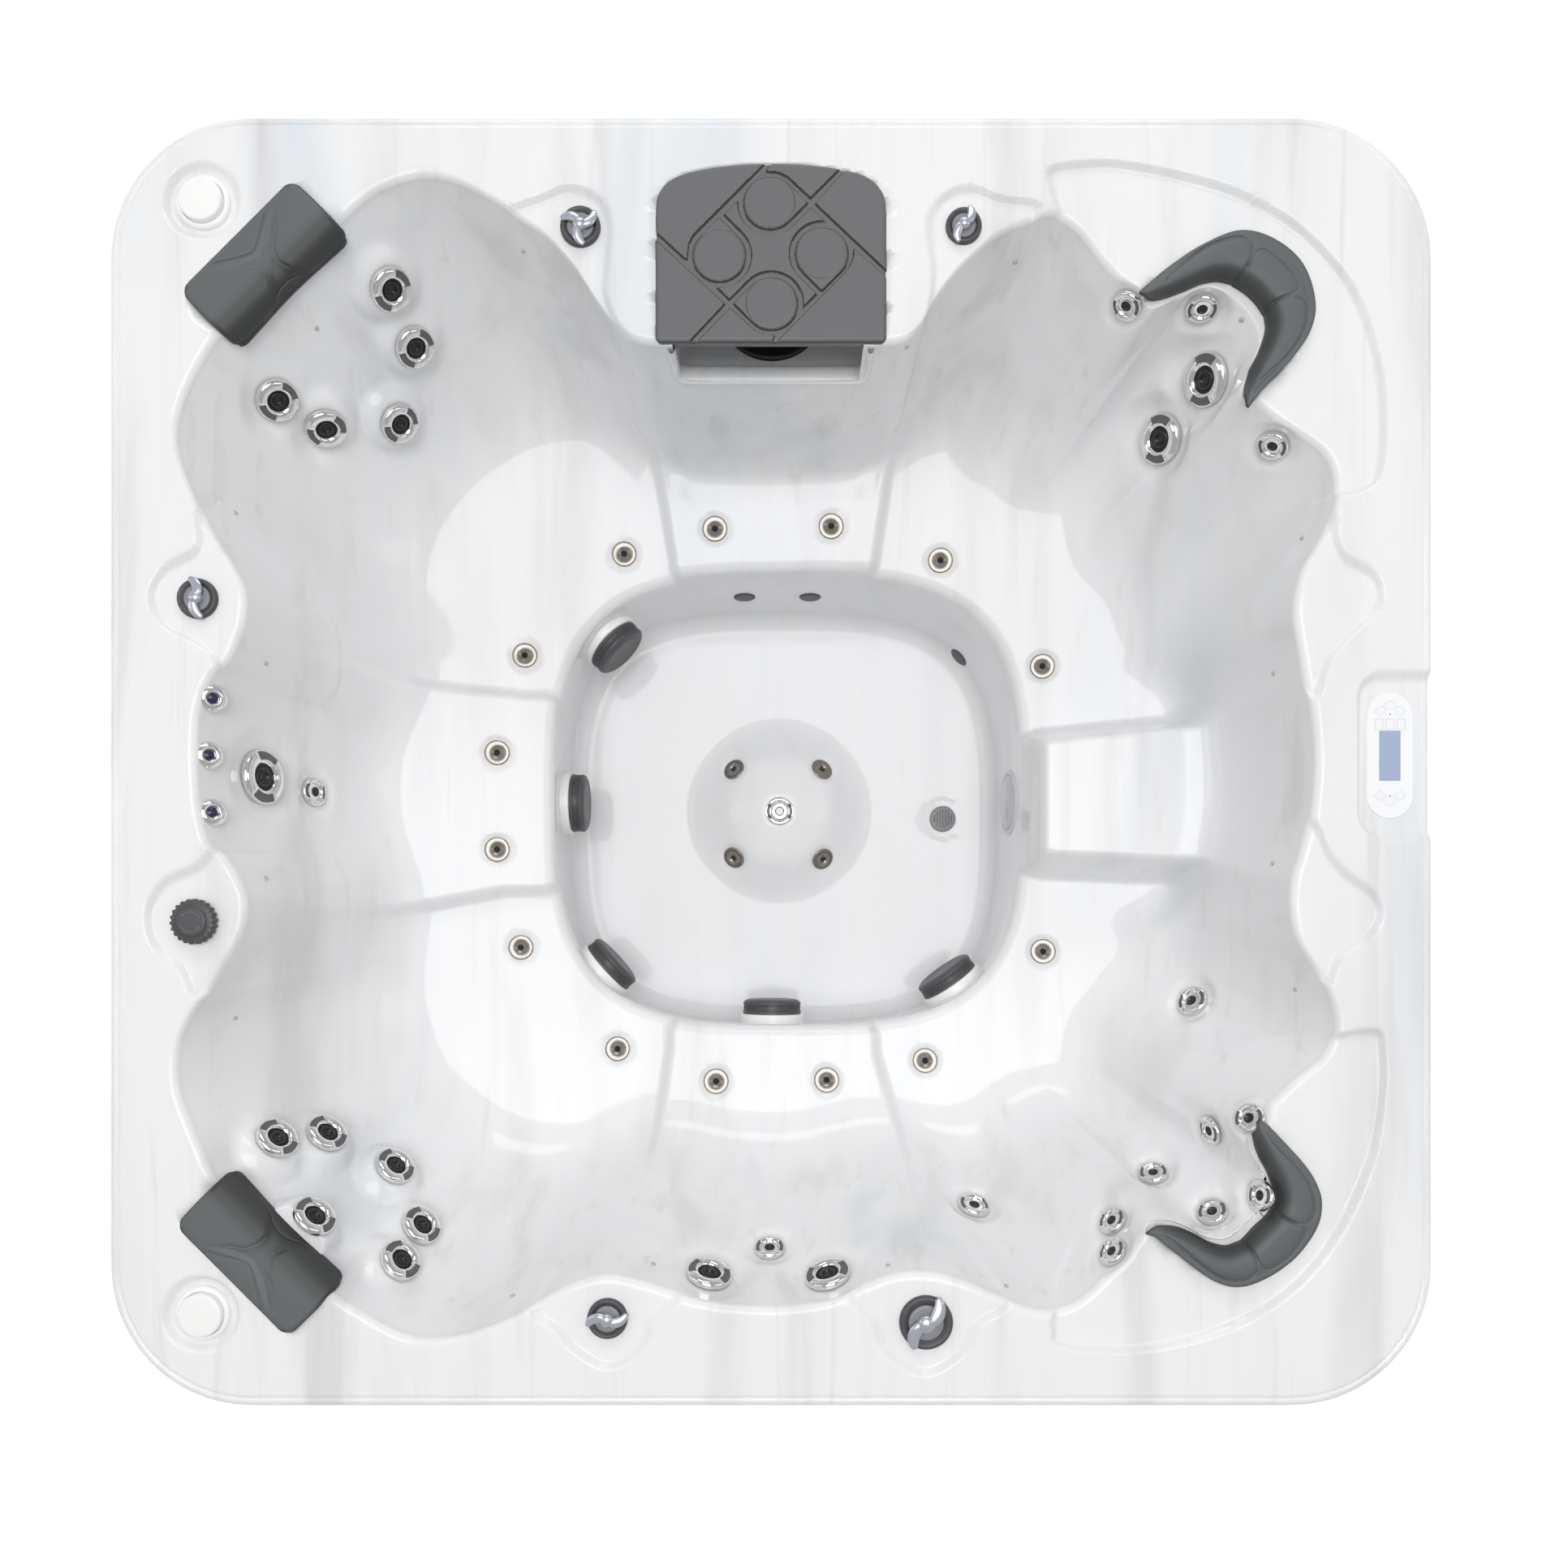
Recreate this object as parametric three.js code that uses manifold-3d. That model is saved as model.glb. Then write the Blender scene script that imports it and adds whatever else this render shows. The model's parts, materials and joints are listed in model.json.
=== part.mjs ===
// Acrylic hot tub with a moulded shell, side cabinet, filter, jets and controls.
// Millimetres. +X points to the control panel side, +Y to the filter side, +Z up.
// The origin is the middle of the base, on the ground.
import * as THREE from 'three';
import Module from 'manifold-3d';

// Driving dimensions in millimetres.
const tubWidth = 2200;
const tubDepth = 2145;
const tubHeight = 900;
const lipCornerRadius = 235;
const shellThickness = 12;
const floorHeight = 120;
const footwellDepth = tubHeight - floorHeight;
const fitGap = 0.4;
const restGap = 0.3;
// The photograph was taken from straight above, this far over the deck.
const eyeHeight = 1800;
const eyeShare = [0.0196, -0.236];
// The middle of the footwell, in shares of the half width and half depth.
const centreShare = [0.0091, -0.0093];

// Rim of the shell.
const lipDrop = 50;
const lipRound = 10;
const lipWall = 13;
const rimThickness = 30;
const rimReach = 70;
const rimStep = 6;
const edgeRound = 12;
const edgeDrop = 5;

// Inner edge of the deck, in shares of the half width and half depth, counter-clockwise.
const wellShares = [
  [0.828, 0.000], [0.823, 0.073], [0.811, 0.155], [0.801, 0.217], [0.800, 0.253], [0.811, 0.302],
  [0.838, 0.351], [0.855, 0.393], [0.861, 0.444], [0.847, 0.481], [0.816, 0.508], [0.774, 0.536],
  [0.742, 0.563], [0.724, 0.588], [0.744, 0.639], [0.753, 0.678], [0.731, 0.720], [0.691, 0.748],
  [0.656, 0.748], [0.618, 0.733], [0.585, 0.720], [0.556, 0.734], [0.508, 0.781], [0.470, 0.830],
  [0.438, 0.851], [0.392, 0.845], [0.339, 0.820], [0.286, 0.771], [0.247, 0.719], [0.227, 0.678],
  [0.198, 0.655], [0.134, 0.650], [-0.001, 0.650], [-0.135, 0.650], [-0.199, 0.655], [-0.233, 0.676],
  [-0.267, 0.722], [-0.298, 0.771], [-0.341, 0.820], [-0.383, 0.850], [-0.431, 0.879], [-0.485, 0.905],
  [-0.537, 0.910], [-0.590, 0.893], [-0.626, 0.870], [-0.645, 0.815], [-0.803, 0.651], [-0.844, 0.654],
  [-0.876, 0.601], [-0.896, 0.552], [-0.903, 0.503], [-0.890, 0.449], [-0.867, 0.393], [-0.849, 0.356],
  [-0.823, 0.312], [-0.805, 0.277], [-0.802, 0.243], [-0.809, 0.205], [-0.827, 0.163], [-0.851, 0.133],
  [-0.868, 0.085], [-0.873, 0.018], [-0.869, -0.064], [-0.856, -0.123], [-0.833, -0.147], [-0.813, -0.182],
  [-0.801, -0.219], [-0.807, -0.263], [-0.830, -0.309], [-0.857, -0.360], [-0.881, -0.397], [-0.899, -0.442],
  [-0.900, -0.505], [-0.878, -0.571], [-0.849, -0.621], [-0.807, -0.639], [-0.645, -0.802], [-0.635, -0.845],
  [-0.595, -0.875], [-0.537, -0.896], [-0.479, -0.894], [-0.417, -0.875], [-0.362, -0.847], [-0.307, -0.817],
  [-0.251, -0.802], [-0.197, -0.812], [-0.148, -0.828], [-0.086, -0.843], [-0.001, -0.849], [0.073, -0.842],
  [0.121, -0.827], [0.180, -0.803], [0.232, -0.797], [0.286, -0.808], [0.343, -0.832], [0.398, -0.851],
  [0.449, -0.852], [0.490, -0.826], [0.529, -0.782], [0.563, -0.742], [0.575, -0.723], [0.615, -0.718],
  [0.657, -0.737], [0.688, -0.744], [0.718, -0.727], [0.748, -0.681], [0.746, -0.644], [0.726, -0.576],
  [0.749, -0.548], [0.800, -0.497], [0.843, -0.460], [0.858, -0.420], [0.854, -0.380], [0.833, -0.329],
  [0.805, -0.279], [0.795, -0.233], [0.797, -0.184], [0.811, -0.135], [0.823, -0.072],
];

// Seat depth round the tub: [degrees from +X, share of the footwell depth].
const seatShares = [
  [10, 0.425], [18, 0.610], [63, 0.610], [71, 0.575], [110, 0.575], [117, 0.620], [156, 0.620],
  [164, 0.580], [197, 0.580], [204, 0.620], [243, 0.620], [250, 0.575], [289, 0.575], [296, 0.610],
  [341, 0.610], [350, 0.425],
];
// Lean of the backrests round the tub: [degrees, share of the half width].
const leanShares = [
  [11, 0.024], [28, 0.230], [58, 0.230], [76, 0.046], [106, 0.046], [124, 0.250], [152, 0.250],
  [168, 0.150], [194, 0.150], [208, 0.250], [238, 0.250], [256, 0.200], [284, 0.200], [300, 0.230],
  [334, 0.230], [349, 0.024],
];
const wallCurve = 1.7;
const wallShares = [0.12, 0.30, 0.52, 0.76, 1];
const blendDegrees = [-12, -8, -4, 0, 4, 8, 12];

// Footwell: crest of the seats and edge of the floor as rounded squares.
const crestShare = [0.0282, -0.0103];
const crestHalfShare = [0.471, 0.467];
const floorShare = [0.0182, -0.0252];
const floorHalfShare = [0.444, 0.437];
const squareness = 3.2;
const crestFall = 14;
const crestRound = [[0, 0], [18, 14]];
const floorRound = [[8, 30], [-22, 0]];
const humpRadius = 218;
const humpHeight = 90;
const humpShares = [[1, 0], [0.74, 0.42], [0.45, 0.94]];
const columns = 60;
const cornerSteps = 5;
const columnSpacingShare = 0.0033;

// Adjustable jets and wall fittings: where each is seen from above, and its face radius.
const jets = [
  ['jet_nw_1', [-0.572, 0.730], 38], ['jet_nw_2', [-0.536, 0.640], 38], ['jet_nw_3', [-0.744, 0.558], 38],
  ['jet_nw_4', [-0.671, 0.514], 38], ['jet_nw_5', [-0.559, 0.522], 38],
  ['jet_sw_1', [-0.744, -0.582], 38], ['jet_sw_2', [-0.669, -0.574], 38], ['jet_sw_3', [-0.566, -0.625], 38],
  ['jet_sw_4', [-0.688, -0.703], 38], ['jet_sw_5', [-0.526, -0.717], 38], ['jet_sw_6', [-0.557, -0.771], 38],
  ['jet_ne_1', [0.654, 0.591], 46], ['jet_ne_2', [0.586, 0.499], 46], ['jet_w_1', [-0.765, -0.024], 50],
  ['jet_s_1', [-0.093, -0.791], 40], ['jet_s_2', [0.085, -0.792], 40],
];
const jetSink = 6;
const jetProud = 7;
// Fittings on the footwell's walls: [name, degrees from +X about the middle of the footwell].
const suctions = [
  ['suction_cover_1', 135.7], ['suction_cover_2', 179.5], ['suction_cover_3', 223.3], ['suction_cover_4', 268.2],
  ['suction_cover_5', 313.4],
];
const suctionDepthShare = 0.80;
const suctionRadius = 70;
const suctionProud = 56;
const lensDegrees = 0.4;
const lensDepthShare = 0.77;
const lensRadius = 72;
const lensProud = 14;
const fittingSink = 5;
const drainShare = [0.363, -0.0252];
const drainRadius = 31;
const drainSink = 5;
const drainHeight = 7;

// Deck controls.
const knobs = [
  ['air_knob_1', [-0.289, 0.832], 31, 20], ['air_knob_2', [0.292, 0.833], 30, 65],
  ['air_knob_3', [-0.869, 0.254], 33, 110], ['air_knob_4', [-0.248, -0.865], 33, 15],
  ['diverter_knob', [0.235, -0.871], 45, 45],
];
const knobRise = 5;
const knobHandle = 15;
const knobWaistShare = 0.42;
const knobStem = 9;
const knobStemLength = 44;
const capShare = [-0.872, -0.248];
const capRadius = 38;
const capTopRadius = 23;
const capHeight = 16;
const capTeeth = 10;
const speakerInsets = [[153, 139], [153, 153]];
const speakerRecess = 60;
const speakerRecessDepth = 12;
const speakerWall = 10;
const bezelRadius = 45;
const bezelHeight = 9;
const canRadius = 42;
const canBore = 37;
const canDepth = 104;
const popTop = 6;
const popLength = 66;
const panelShare = [0.939, 0.010];
const panelWidth = 78;
const panelLength = 210;
const panelHeight = 8;
const panelRecessDepth = 10;
const panelRecessLength = 268;
const panelRecessReach = 112;

// Pillows and the ledges they sit on.
const padWidth = 129;
const padLength = 256;
// The cut corners of the well that the two straight pillows sit on, and the side they lean to.
const padEdgeShares = [[[-0.645, 0.815], [-0.803, 0.651], 135], [[-0.645, -0.802], [-0.807, -0.639], 225]];
const padOverhang = 4;
const padStations = [-1, -0.95, -0.7, -0.4];
const padCornerShare = 0.13;
// Where the crossing channels of a straight pillow run: [share at the middle, spread at its edges].
const padChannelShares = [0.05, 0.34];
const channelWidthShare = 0.035;
const channelDepth = 3;
const waistDepth = 5;
// From the outer edge of a pillow to its inner edge: [share across, share of the roll].
const rollShares = [[0, 0.20], [0.05, 0.04], [0.16, 0], [0.42, 0], [0.62, 0.22], [0.82, 0.62], [0.95, 0.90], [1, 1]];
const hornSeamShares = [0.33, 0.64];
const hornStationShares = [0, 0.03, 0.12, 0.22, 0.46, 0.56, 0.75, 0.86, 0.97, 1];
// Outer and inner line of the two curved pillows, from tip to tip.
const hornLineShares = [
  [[0.557, 0.729], [0.600, 0.766], [0.650, 0.800], [0.708, 0.823], [0.760, 0.810], [0.803, 0.772],
    [0.822, 0.715], [0.815, 0.668], [0.785, 0.622], [0.748, 0.583], [0.724, 0.549]],
  [[0.560, 0.721], [0.583, 0.714], [0.619, 0.727], [0.656, 0.742], [0.688, 0.742], [0.726, 0.717],
    [0.747, 0.680], [0.738, 0.639], [0.722, 0.605], [0.714, 0.575], [0.717, 0.552]],
];
const hornMirrorLineShares = [
  [[0.566, -0.732], [0.602, -0.766], [0.648, -0.802], [0.702, -0.817], [0.757, -0.801], [0.808, -0.752],
    [0.831, -0.686], [0.818, -0.640], [0.785, -0.600], [0.757, -0.568], [0.742, -0.552]],
  [[0.570, -0.726], [0.590, -0.722], [0.618, -0.725], [0.656, -0.742], [0.688, -0.750], [0.722, -0.732],
    [0.754, -0.683], [0.752, -0.644], [0.740, -0.605], [0.732, -0.575], [0.735, -0.557]],
];
const ledgeDepth = 30;
const pillowRise = 8;
const pillowRoll = 20;
const pocketWall = 10;

// Filter niche, lid, housing and cartridge.
const lidShares = [
  [0.174, 0.650], [0.174, 0.871], [0.131, 0.913], [0.066, 0.924], [-0.002, 0.927], [-0.066, 0.924],
  [-0.129, 0.913], [-0.174, 0.871], [-0.174, 0.650],
];
const lidThickness = 14;
const lidGap = 1.5;
const lidCupRadius = 42;
const lidCupDepth = 6;
const lidCupShares = [[-0.001, 0.862], [-0.078, 0.786], [0.078, 0.786], [-0.001, 0.709]];
const nicheHalfWidth = 163;
const nicheDepth = 130;
const nicheLip = 12;
const nicheBackShare = 0.886;
const nicheWall = 12;
const filterShare = [0, 0.772];
const filterBore = 98;
const housingWall = 10;
const housingLength = 330;
const housingFlange = 14;
const cartridgeRadius = 80;
const cartridgeCore = 24;
const cartridgeRing = 9;

// Cabinet, base and frame.
const cabinetInset = 45;
const cabinetCorner = 190;
const cabinetSeam = 3;
const boardThickness = 14;
const panThickness = 12;
const panRim = 40;
const panRimWidth = 14;
const frameWidth = 18;
const railHeight = 60;
const postWidth = 70;
const bracePost = 24;

// Equipment on the base, placed by shares of the half width and half depth.
const pumps = [['pump_1', [0.745, -0.235]], ['pump_2', [0.745, 0.195]]];
const motorRadius = 74;
const motorLength = 210;
const motorAxisHeight = 108;
const wetRadius = 84;
const wetLength = 92;
const stubRadius = 26;
const stubRise = 44;
const footWidth = 120;
const heaterShare = [-0.80, 0];
const heaterRadius = 40;
const heaterLength = 400;
const heaterAxisHeight = 96;
const heaterFoot = 40;
const boxShare = [0.80, -0.62];
const boxSize = [170, 320, 240];
const blowerShare = [-0.79, -0.79];
const blowerRadius = 76;
const blowerHeight = 170;
const blowerNeck = 26;
const blowerNeckRise = 46;

const wasm = await Module();
wasm.setup();

const half = [tubWidth / 2, tubDepth / 2];
const deck = tubHeight;
const centre = [half[0] * centreShare[0], half[1] * centreShare[1]];
const turn = Math.PI * 2;
const round = 18;
const pocketSides = 12;
const holeSides = 10;
const normalSamples = [0, 1, 2, 3, 4, 5, 6, 7].map((k) => (turn * k) / 8);
const sampleShare = 0.75;

// Closed bodies are kept as points and triangles, facing out.
function loft(rings) {
  const points = [];
  const faces = [];
  const starts = rings.map((ring) => {
    const start = points.length;
    points.push(...ring);
    return start;
  });
  for (let k = 0; k + 1 < rings.length; k += 1) {
    const low = rings[k];
    const high = rings[k + 1];
    const count = Math.max(low.length, high.length);
    for (let i = 0; i < count; i += 1) {
      const j = (i + 1) % count;
      const a = starts[k] + (low.length > 1 ? i : 0);
      const b = starts[k] + (low.length > 1 ? j : 0);
      const c = starts[k + 1] + (high.length > 1 ? j : 0);
      const d = starts[k + 1] + (high.length > 1 ? i : 0);
      if (low.length > 1) faces.push([a, b, c]);
      if (high.length > 1) faces.push([a, c, d]);
    }
  }
  return { points, faces };
}

// A stack of equal outlines, [outline, height] from the bottom, closed by flat ends.
function stack(levels) {
  const rings = levels.map(([outline, z]) => outline.map(([x, y]) => [x, y, z]));
  const body = loft(rings);
  const caps = (outline) => THREE.ShapeUtils.triangulateShape(
    outline.map(([x, y]) => new THREE.Vector2(x, y)), []);
  const top = (levels.length - 1) * rings[0].length;
  caps(levels[0][0]).forEach(([a, b, c]) => body.faces.push([c, b, a]));
  caps(levels[levels.length - 1][0]).forEach(([a, b, c]) => body.faces.push([top + a, top + b, top + c]));
  return body;
}

const prism = (outline, low, high) => stack([[outline, low], [outline, high]]);

// A turned body about Z from [radius, height] pairs, bottom of the axis to its top.
function turned(profile, sides = round) {
  return loft(profile.map(([r, z]) => (r === 0
    ? [[0, 0, z]]
    : Array.from({ length: sides }, (_, i) => [
      r * Math.cos((turn * i) / sides), r * Math.sin((turn * i) / sides), z]))));
}

// A turned ring, from a closed profile of [radius, height] pairs, counter-clockwise.
function hoop(profile, sides = round) {
  const body = turned([...profile, profile[0]], sides);
  const last = profile.length * sides;
  body.faces = body.faces.map((face) => face.map((i) => (i >= last ? i - last : i)));
  body.points.length = last;
  return body;
}

function box(low, high) {
  return prism([[low[0], low[1]], [high[0], low[1]], [high[0], high[1]], [low[0], high[1]]], low[2], high[2]);
}

function moved(body, matrix) {
  const v = new THREE.Vector3();
  return { points: body.points.map((p) => v.set(...p).applyMatrix4(matrix).toArray()), faces: body.faces };
}

const shifted = (body, x, y, z) => moved(body, new THREE.Matrix4().makeTranslation(x, y, z));

function solid(body) {
  return new wasm.Manifold(new wasm.Mesh({
    numProp: 3,
    vertProperties: new Float32Array(body.points.flat()),
    triVerts: new Uint32Array(body.faces.flat()),
  }));
}

const joined = (bodies) => bodies.map(solid).reduce((a, b) => a.add(b));

function geometryOf(positions, indices) {
  const geometry = new THREE.BufferGeometry();
  geometry.setAttribute('position', new THREE.Float32BufferAttribute(positions, 3));
  geometry.setIndex(indices);
  return geometry;
}

function fromSolid(result) {
  const { vertProperties, triVerts, numProp } = result.getMesh();
  const positions = [];
  for (let i = 0; i < vertProperties.length; i += numProp) {
    positions.push(vertProperties[i], vertProperties[i + 1], vertProperties[i + 2]);
  }
  return geometryOf(positions, Array.from(triVerts));
}

const fromBody = (body) => geometryOf(body.points.flat(), body.faces.flat());

// Outlines.
const spot = ([x, y]) => [half[0] * x, half[1] * y];
const placedSpots = (shares) => shares.map(spot);

function rounded(halfX, halfY, radius, steps = 8) {
  const outline = [];
  [[1, 1], [-1, 1], [-1, -1], [1, -1]].forEach(([sx, sy], k) => {
    for (let i = 0; i <= steps; i += 1) {
      const a = (turn / 4) * (k + i / steps);
      outline.push([sx * (halfX - radius) + radius * Math.cos(a), sy * (halfY - radius) + radius * Math.sin(a)]);
    }
  });
  return outline.filter((p, i) => {
    const q = outline[(i + 1) % outline.length];
    return Math.abs(p[0] - q[0]) + Math.abs(p[1] - q[1]) > Number.EPSILON * tubWidth;
  });
}

function squircle(share, halfShare, steps = 180) {
  return Array.from({ length: steps }, (_, i) => {
    const a = (turn * i) / steps;
    const bend = (v) => Math.sign(v) * Math.abs(v) ** (2 / squareness);
    return [half[0] * (share[0] + halfShare[0] * bend(Math.cos(a))),
      half[1] * (share[1] + halfShare[1] * bend(Math.sin(a)))];
  });
}

function smooth(points, steps) {
  const curve = new THREE.CatmullRomCurve3(points.map(([x, y]) => new THREE.Vector3(x, y, 0)), true, 'centripetal');
  return curve.getPoints(points.length * steps).slice(0, -1).map((p) => [p.x, p.y]);
}

// An outline moved in or out along its own normals.
function grown(outline, distance) {
  const count = outline.length;
  return outline.map((p, i) => {
    const a = outline[(i + count - 1) % count];
    const b = outline[(i + 1) % count];
    const length = Math.hypot(b[0] - a[0], b[1] - a[1]);
    return [p[0] + ((b[1] - a[1]) / length) * distance, p[1] - ((b[0] - a[0]) / length) * distance];
  });
}

// The same outline with every edge split into equal parts.
const split = (outline, parts) => outline.flatMap((p, i) => {
  const q = outline[(i + 1) % outline.length];
  return Array.from({ length: parts }, (_, k) => p.map((v, n) => v + ((q[n] - v) * k) / parts));
});

// Radii of an outline about the centre of the tub, looked up by angle.
function radii(outline) {
  const table = outline
    .map(([x, y]) => [Math.atan2(y - centre[1], x - centre[0]), Math.hypot(x - centre[0], y - centre[1])])
    .sort((p, q) => p[0] - q[0]);
  const first = table[0];
  const last = table[table.length - 1];
  table.unshift([last[0] - turn, last[1]]);
  table.push([first[0] + turn, first[1]]);
  return (angle) => {
    const a = angle - turn * Math.floor((angle + turn / 2) / turn);
    let i = 1;
    while (table[i][0] < a) i += 1;
    const t = (a - table[i - 1][0]) / (table[i][0] - table[i - 1][0] || 1);
    return table[i - 1][1] + t * (table[i][1] - table[i - 1][1]);
  };
}

// Eased value between the keys of a [degrees, value] table.
function eased(keys, angle) {
  const degrees = (((angle * 360) / turn) % 360 + 360) % 360;
  const next = keys.findIndex(([d]) => d > degrees);
  const b = next < 0 ? keys[0] : keys[next];
  const a = keys[(next < 0 ? keys.length : next || keys.length) - 1];
  const span = (b[0] - a[0] + 360) % 360;
  const t = ((degrees - a[0] + 360) % 360) / span;
  return a[1] + (b[1] - a[1]) * t * t * (3 - 2 * t);
}

const lipRadii = (inset) => radii(split(rounded(half[0] - inset, half[1] - inset, lipCornerRadius - inset), 40));
const wellOutline = smooth(placedSpots(wellShares), 6);
const wellRadius = radii(wellOutline);
const crestRadius = radii(squircle(crestShare, crestHalfShare));
const floorRadius = radii(squircle(floorShare, floorHalfShare));
const softWell = (angle) => blendDegrees
  .reduce((sum, d) => sum + wellRadius(angle + (d * turn) / 360), 0) / blendDegrees.length;
const wallFall = (s) => 1 - (1 - s) ** wallCurve;

// The shell's upper face at one angle: [radius, depth below the deck] from the deck inwards.
function profileAt(angle) {
  const edge = wellRadius(angle);
  const seat = footwellDepth * eased(seatShares, angle);
  const foot = softWell(angle) - half[0] * eased(leanShares, angle);
  const crest = crestRadius(angle);
  const floor = floorRadius(angle);
  const footSafe = Math.max(foot, crest + crestFall);
  return [
    [edge + edgeRound, 0], [edge + edgeRound / 4, edgeDrop / 4], [edge - edgeRound / 4, edgeDrop],
    ...wallShares.map((s) => [
      edge - edgeRound / 4 - (edge - edgeRound / 4 - footSafe) * s, edgeDrop + (seat - edgeDrop) * wallFall(s)]),
    ...crestRound.map(([r, d]) => [crest - r, seat + crestFall + d]),
    ...floorRound.map(([r, d]) => [floor + r, footwellDepth - d]),
    ...humpShares.map(([r, h]) => [humpRadius * r, footwellDepth - humpHeight * h]),
  ];
}

// Shell: one skin round the whole tub, its lower face set off by the thickness.
const cornerLengths = wellOutline.map((p, i) => {
  const q = wellOutline[(i + 1) % wellOutline.length];
  return Math.hypot(q[0] - p[0], q[1] - p[1]);
});
const around = cornerLengths.reduce((a, b) => a + b);
const edgeAngles = Array.from({ length: columns }, (_, k) => {
  let left = (around * k) / columns;
  let i = 0;
  while (left > cornerLengths[i]) {
    left -= cornerLengths[i];
    i += 1;
  }
  const p = wellOutline[i];
  const q = wellOutline[(i + 1) % wellOutline.length];
  const t = left / cornerLengths[i];
  return Math.atan2(p[1] + (q[1] - p[1]) * t - centre[1], p[0] + (q[0] - p[0]) * t - centre[0]);
});
// The rim's round corners get columns of their own.
const cornerAngles = rounded(half[0], half[1], lipCornerRadius, cornerSteps)
  .map(([x, y]) => Math.atan2(y - centre[1], x - centre[0]));
const columnAngles = [...cornerAngles,
  ...edgeAngles.filter((a) => cornerAngles.every((c) => Math.abs(a - c) > turn * columnSpacingShare))].sort((a, b) => a - b);

function shellBody() {
  const profiles = columnAngles.map(profileAt);
  const ring = (radiusOf, heightOf) => columnAngles.map((a, i) => {
    const r = radiusOf(a, i);
    return [centre[0] + r * Math.cos(a), centre[1] + r * Math.sin(a), heightOf(a, i)];
  });
  const lip = (inset, z) => {
    const table = lipRadii(inset);
    return ring((a) => table(a), () => z);
  };
  const upper = profiles[0].map((_, k) => ring((a, i) => profiles[i][k][0], (a, i) => deck - profiles[i][k][1]));
  // The lower face follows the upper one along each column, the thickness away.
  const lowerSteps = profiles[0].map((_, k) => k).slice(3);
  const under = (k) => {
    const set = profiles.map((profile) => {
      const a = profile[k - 1];
      const b = profile[Math.min(k + 1, profile.length - 1)];
      const length = Math.hypot(b[0] - a[0], b[1] - a[1]);
      const out = [(b[1] - a[1]) / length, (a[0] - b[0]) / length];
      return [profile[k][0] + out[0] * shellThickness, profile[k][1] + out[1] * shellThickness];
    });
    return ring((a, i) => set[i][0], (a, i) => deck - set[i][1]);
  };
  const lowerPole = [[centre[0], centre[1], deck - footwellDepth + humpHeight - shellThickness]];
  const upperPole = [[centre[0], centre[1], deck - footwellDepth + humpHeight]];
  return loft([
    lowerPole, ...lowerSteps.map(under).reverse(),
    ring((a) => wellRadius(a) + edgeRound + shellThickness / 2, () => deck - shellThickness),
    lip(rimReach + rimStep, deck - shellThickness), lip(rimReach, deck - rimThickness),
    lip(lipWall, deck - rimThickness), lip(lipWall, deck - lipDrop), lip(0, deck - lipDrop),
    lip(0, deck - lipRound), lip(lipRound / 3, deck - lipRound / 3), lip(lipRound, deck), ...upper, upperPole,
  ]);
}

// Where a point seen from above lies on the shell, and which way the shell faces round it.
const skinBody = shellBody();
const skin = new THREE.Mesh(fromBody(skinBody), new THREE.MeshBasicMaterial({ side: THREE.DoubleSide }));
const caster = new THREE.Raycaster();
const seenFrom = new THREE.Vector3(...spot(eyeShare), deck + eyeHeight);
const hitFrom = (from, direction) => {
  caster.set(from, direction);
  return caster.intersectObject(skin)[0];
};
const dropped = (share, radius) => settled(
  hitFrom(seenFrom, new THREE.Vector3(...spot(share), deck).sub(seenFrom).normalize()), radius);
const onWall = (degrees, depthShare, radius) => settled(
  hitFrom(new THREE.Vector3(...centre, deck - footwellDepth * depthShare),
    new THREE.Vector3(Math.cos((degrees * turn) / 360), Math.sin((degrees * turn) / 360), 0)), radius);
function settled(first, radius) {
  const back = first.face.normal.clone().negate();
  const side = new THREE.Vector3(-back.y, back.x, 0).normalize();
  const other = side.clone().cross(back);
  const normal = first.face.normal.clone();
  normalSamples.forEach((a) => {
    const from = first.point.clone().addScaledVector(side, radius * sampleShare * Math.cos(a))
      .addScaledVector(other, radius * sampleShare * Math.sin(a)).addScaledVector(back, -radius);
    const hit = hitFrom(from, back);
    if (hit) normal.add(hit.face.normal);
  });
  return { point: first.point, normal: normal.normalize() };
}

const axisUp = new THREE.Vector3(0, 0, 1);
const facing = ({ point, normal }) => new THREE.Matrix4().compose(
  point, new THREE.Quaternion().setFromUnitVectors(axisUp, normal), new THREE.Vector3(1, 1, 1));
const tube = (radius, low, high, sides = round) => turned([[0, low], [radius, low], [radius, high], [0, high]], sides);
// A hole that a round piece of this radius turns in freely.
const bore = (radius, low, high, sides = round) => tube((radius + fitGap) / Math.cos(turn / 2 / sides), low, high,
  sides);
const at = (share, z) => {
  const [x, y] = spot(share);
  return new THREE.Matrix4().makeTranslation(x, y, z);
};

const object = new THREE.Group();
function piece(name, geometry, material, place) {
  const mesh = new THREE.Mesh(geometry, material);
  mesh.name = name;
  if (place) {
    place.decompose(mesh.position, mesh.quaternion, mesh.scale);
  }
  object.add(mesh);
}

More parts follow.
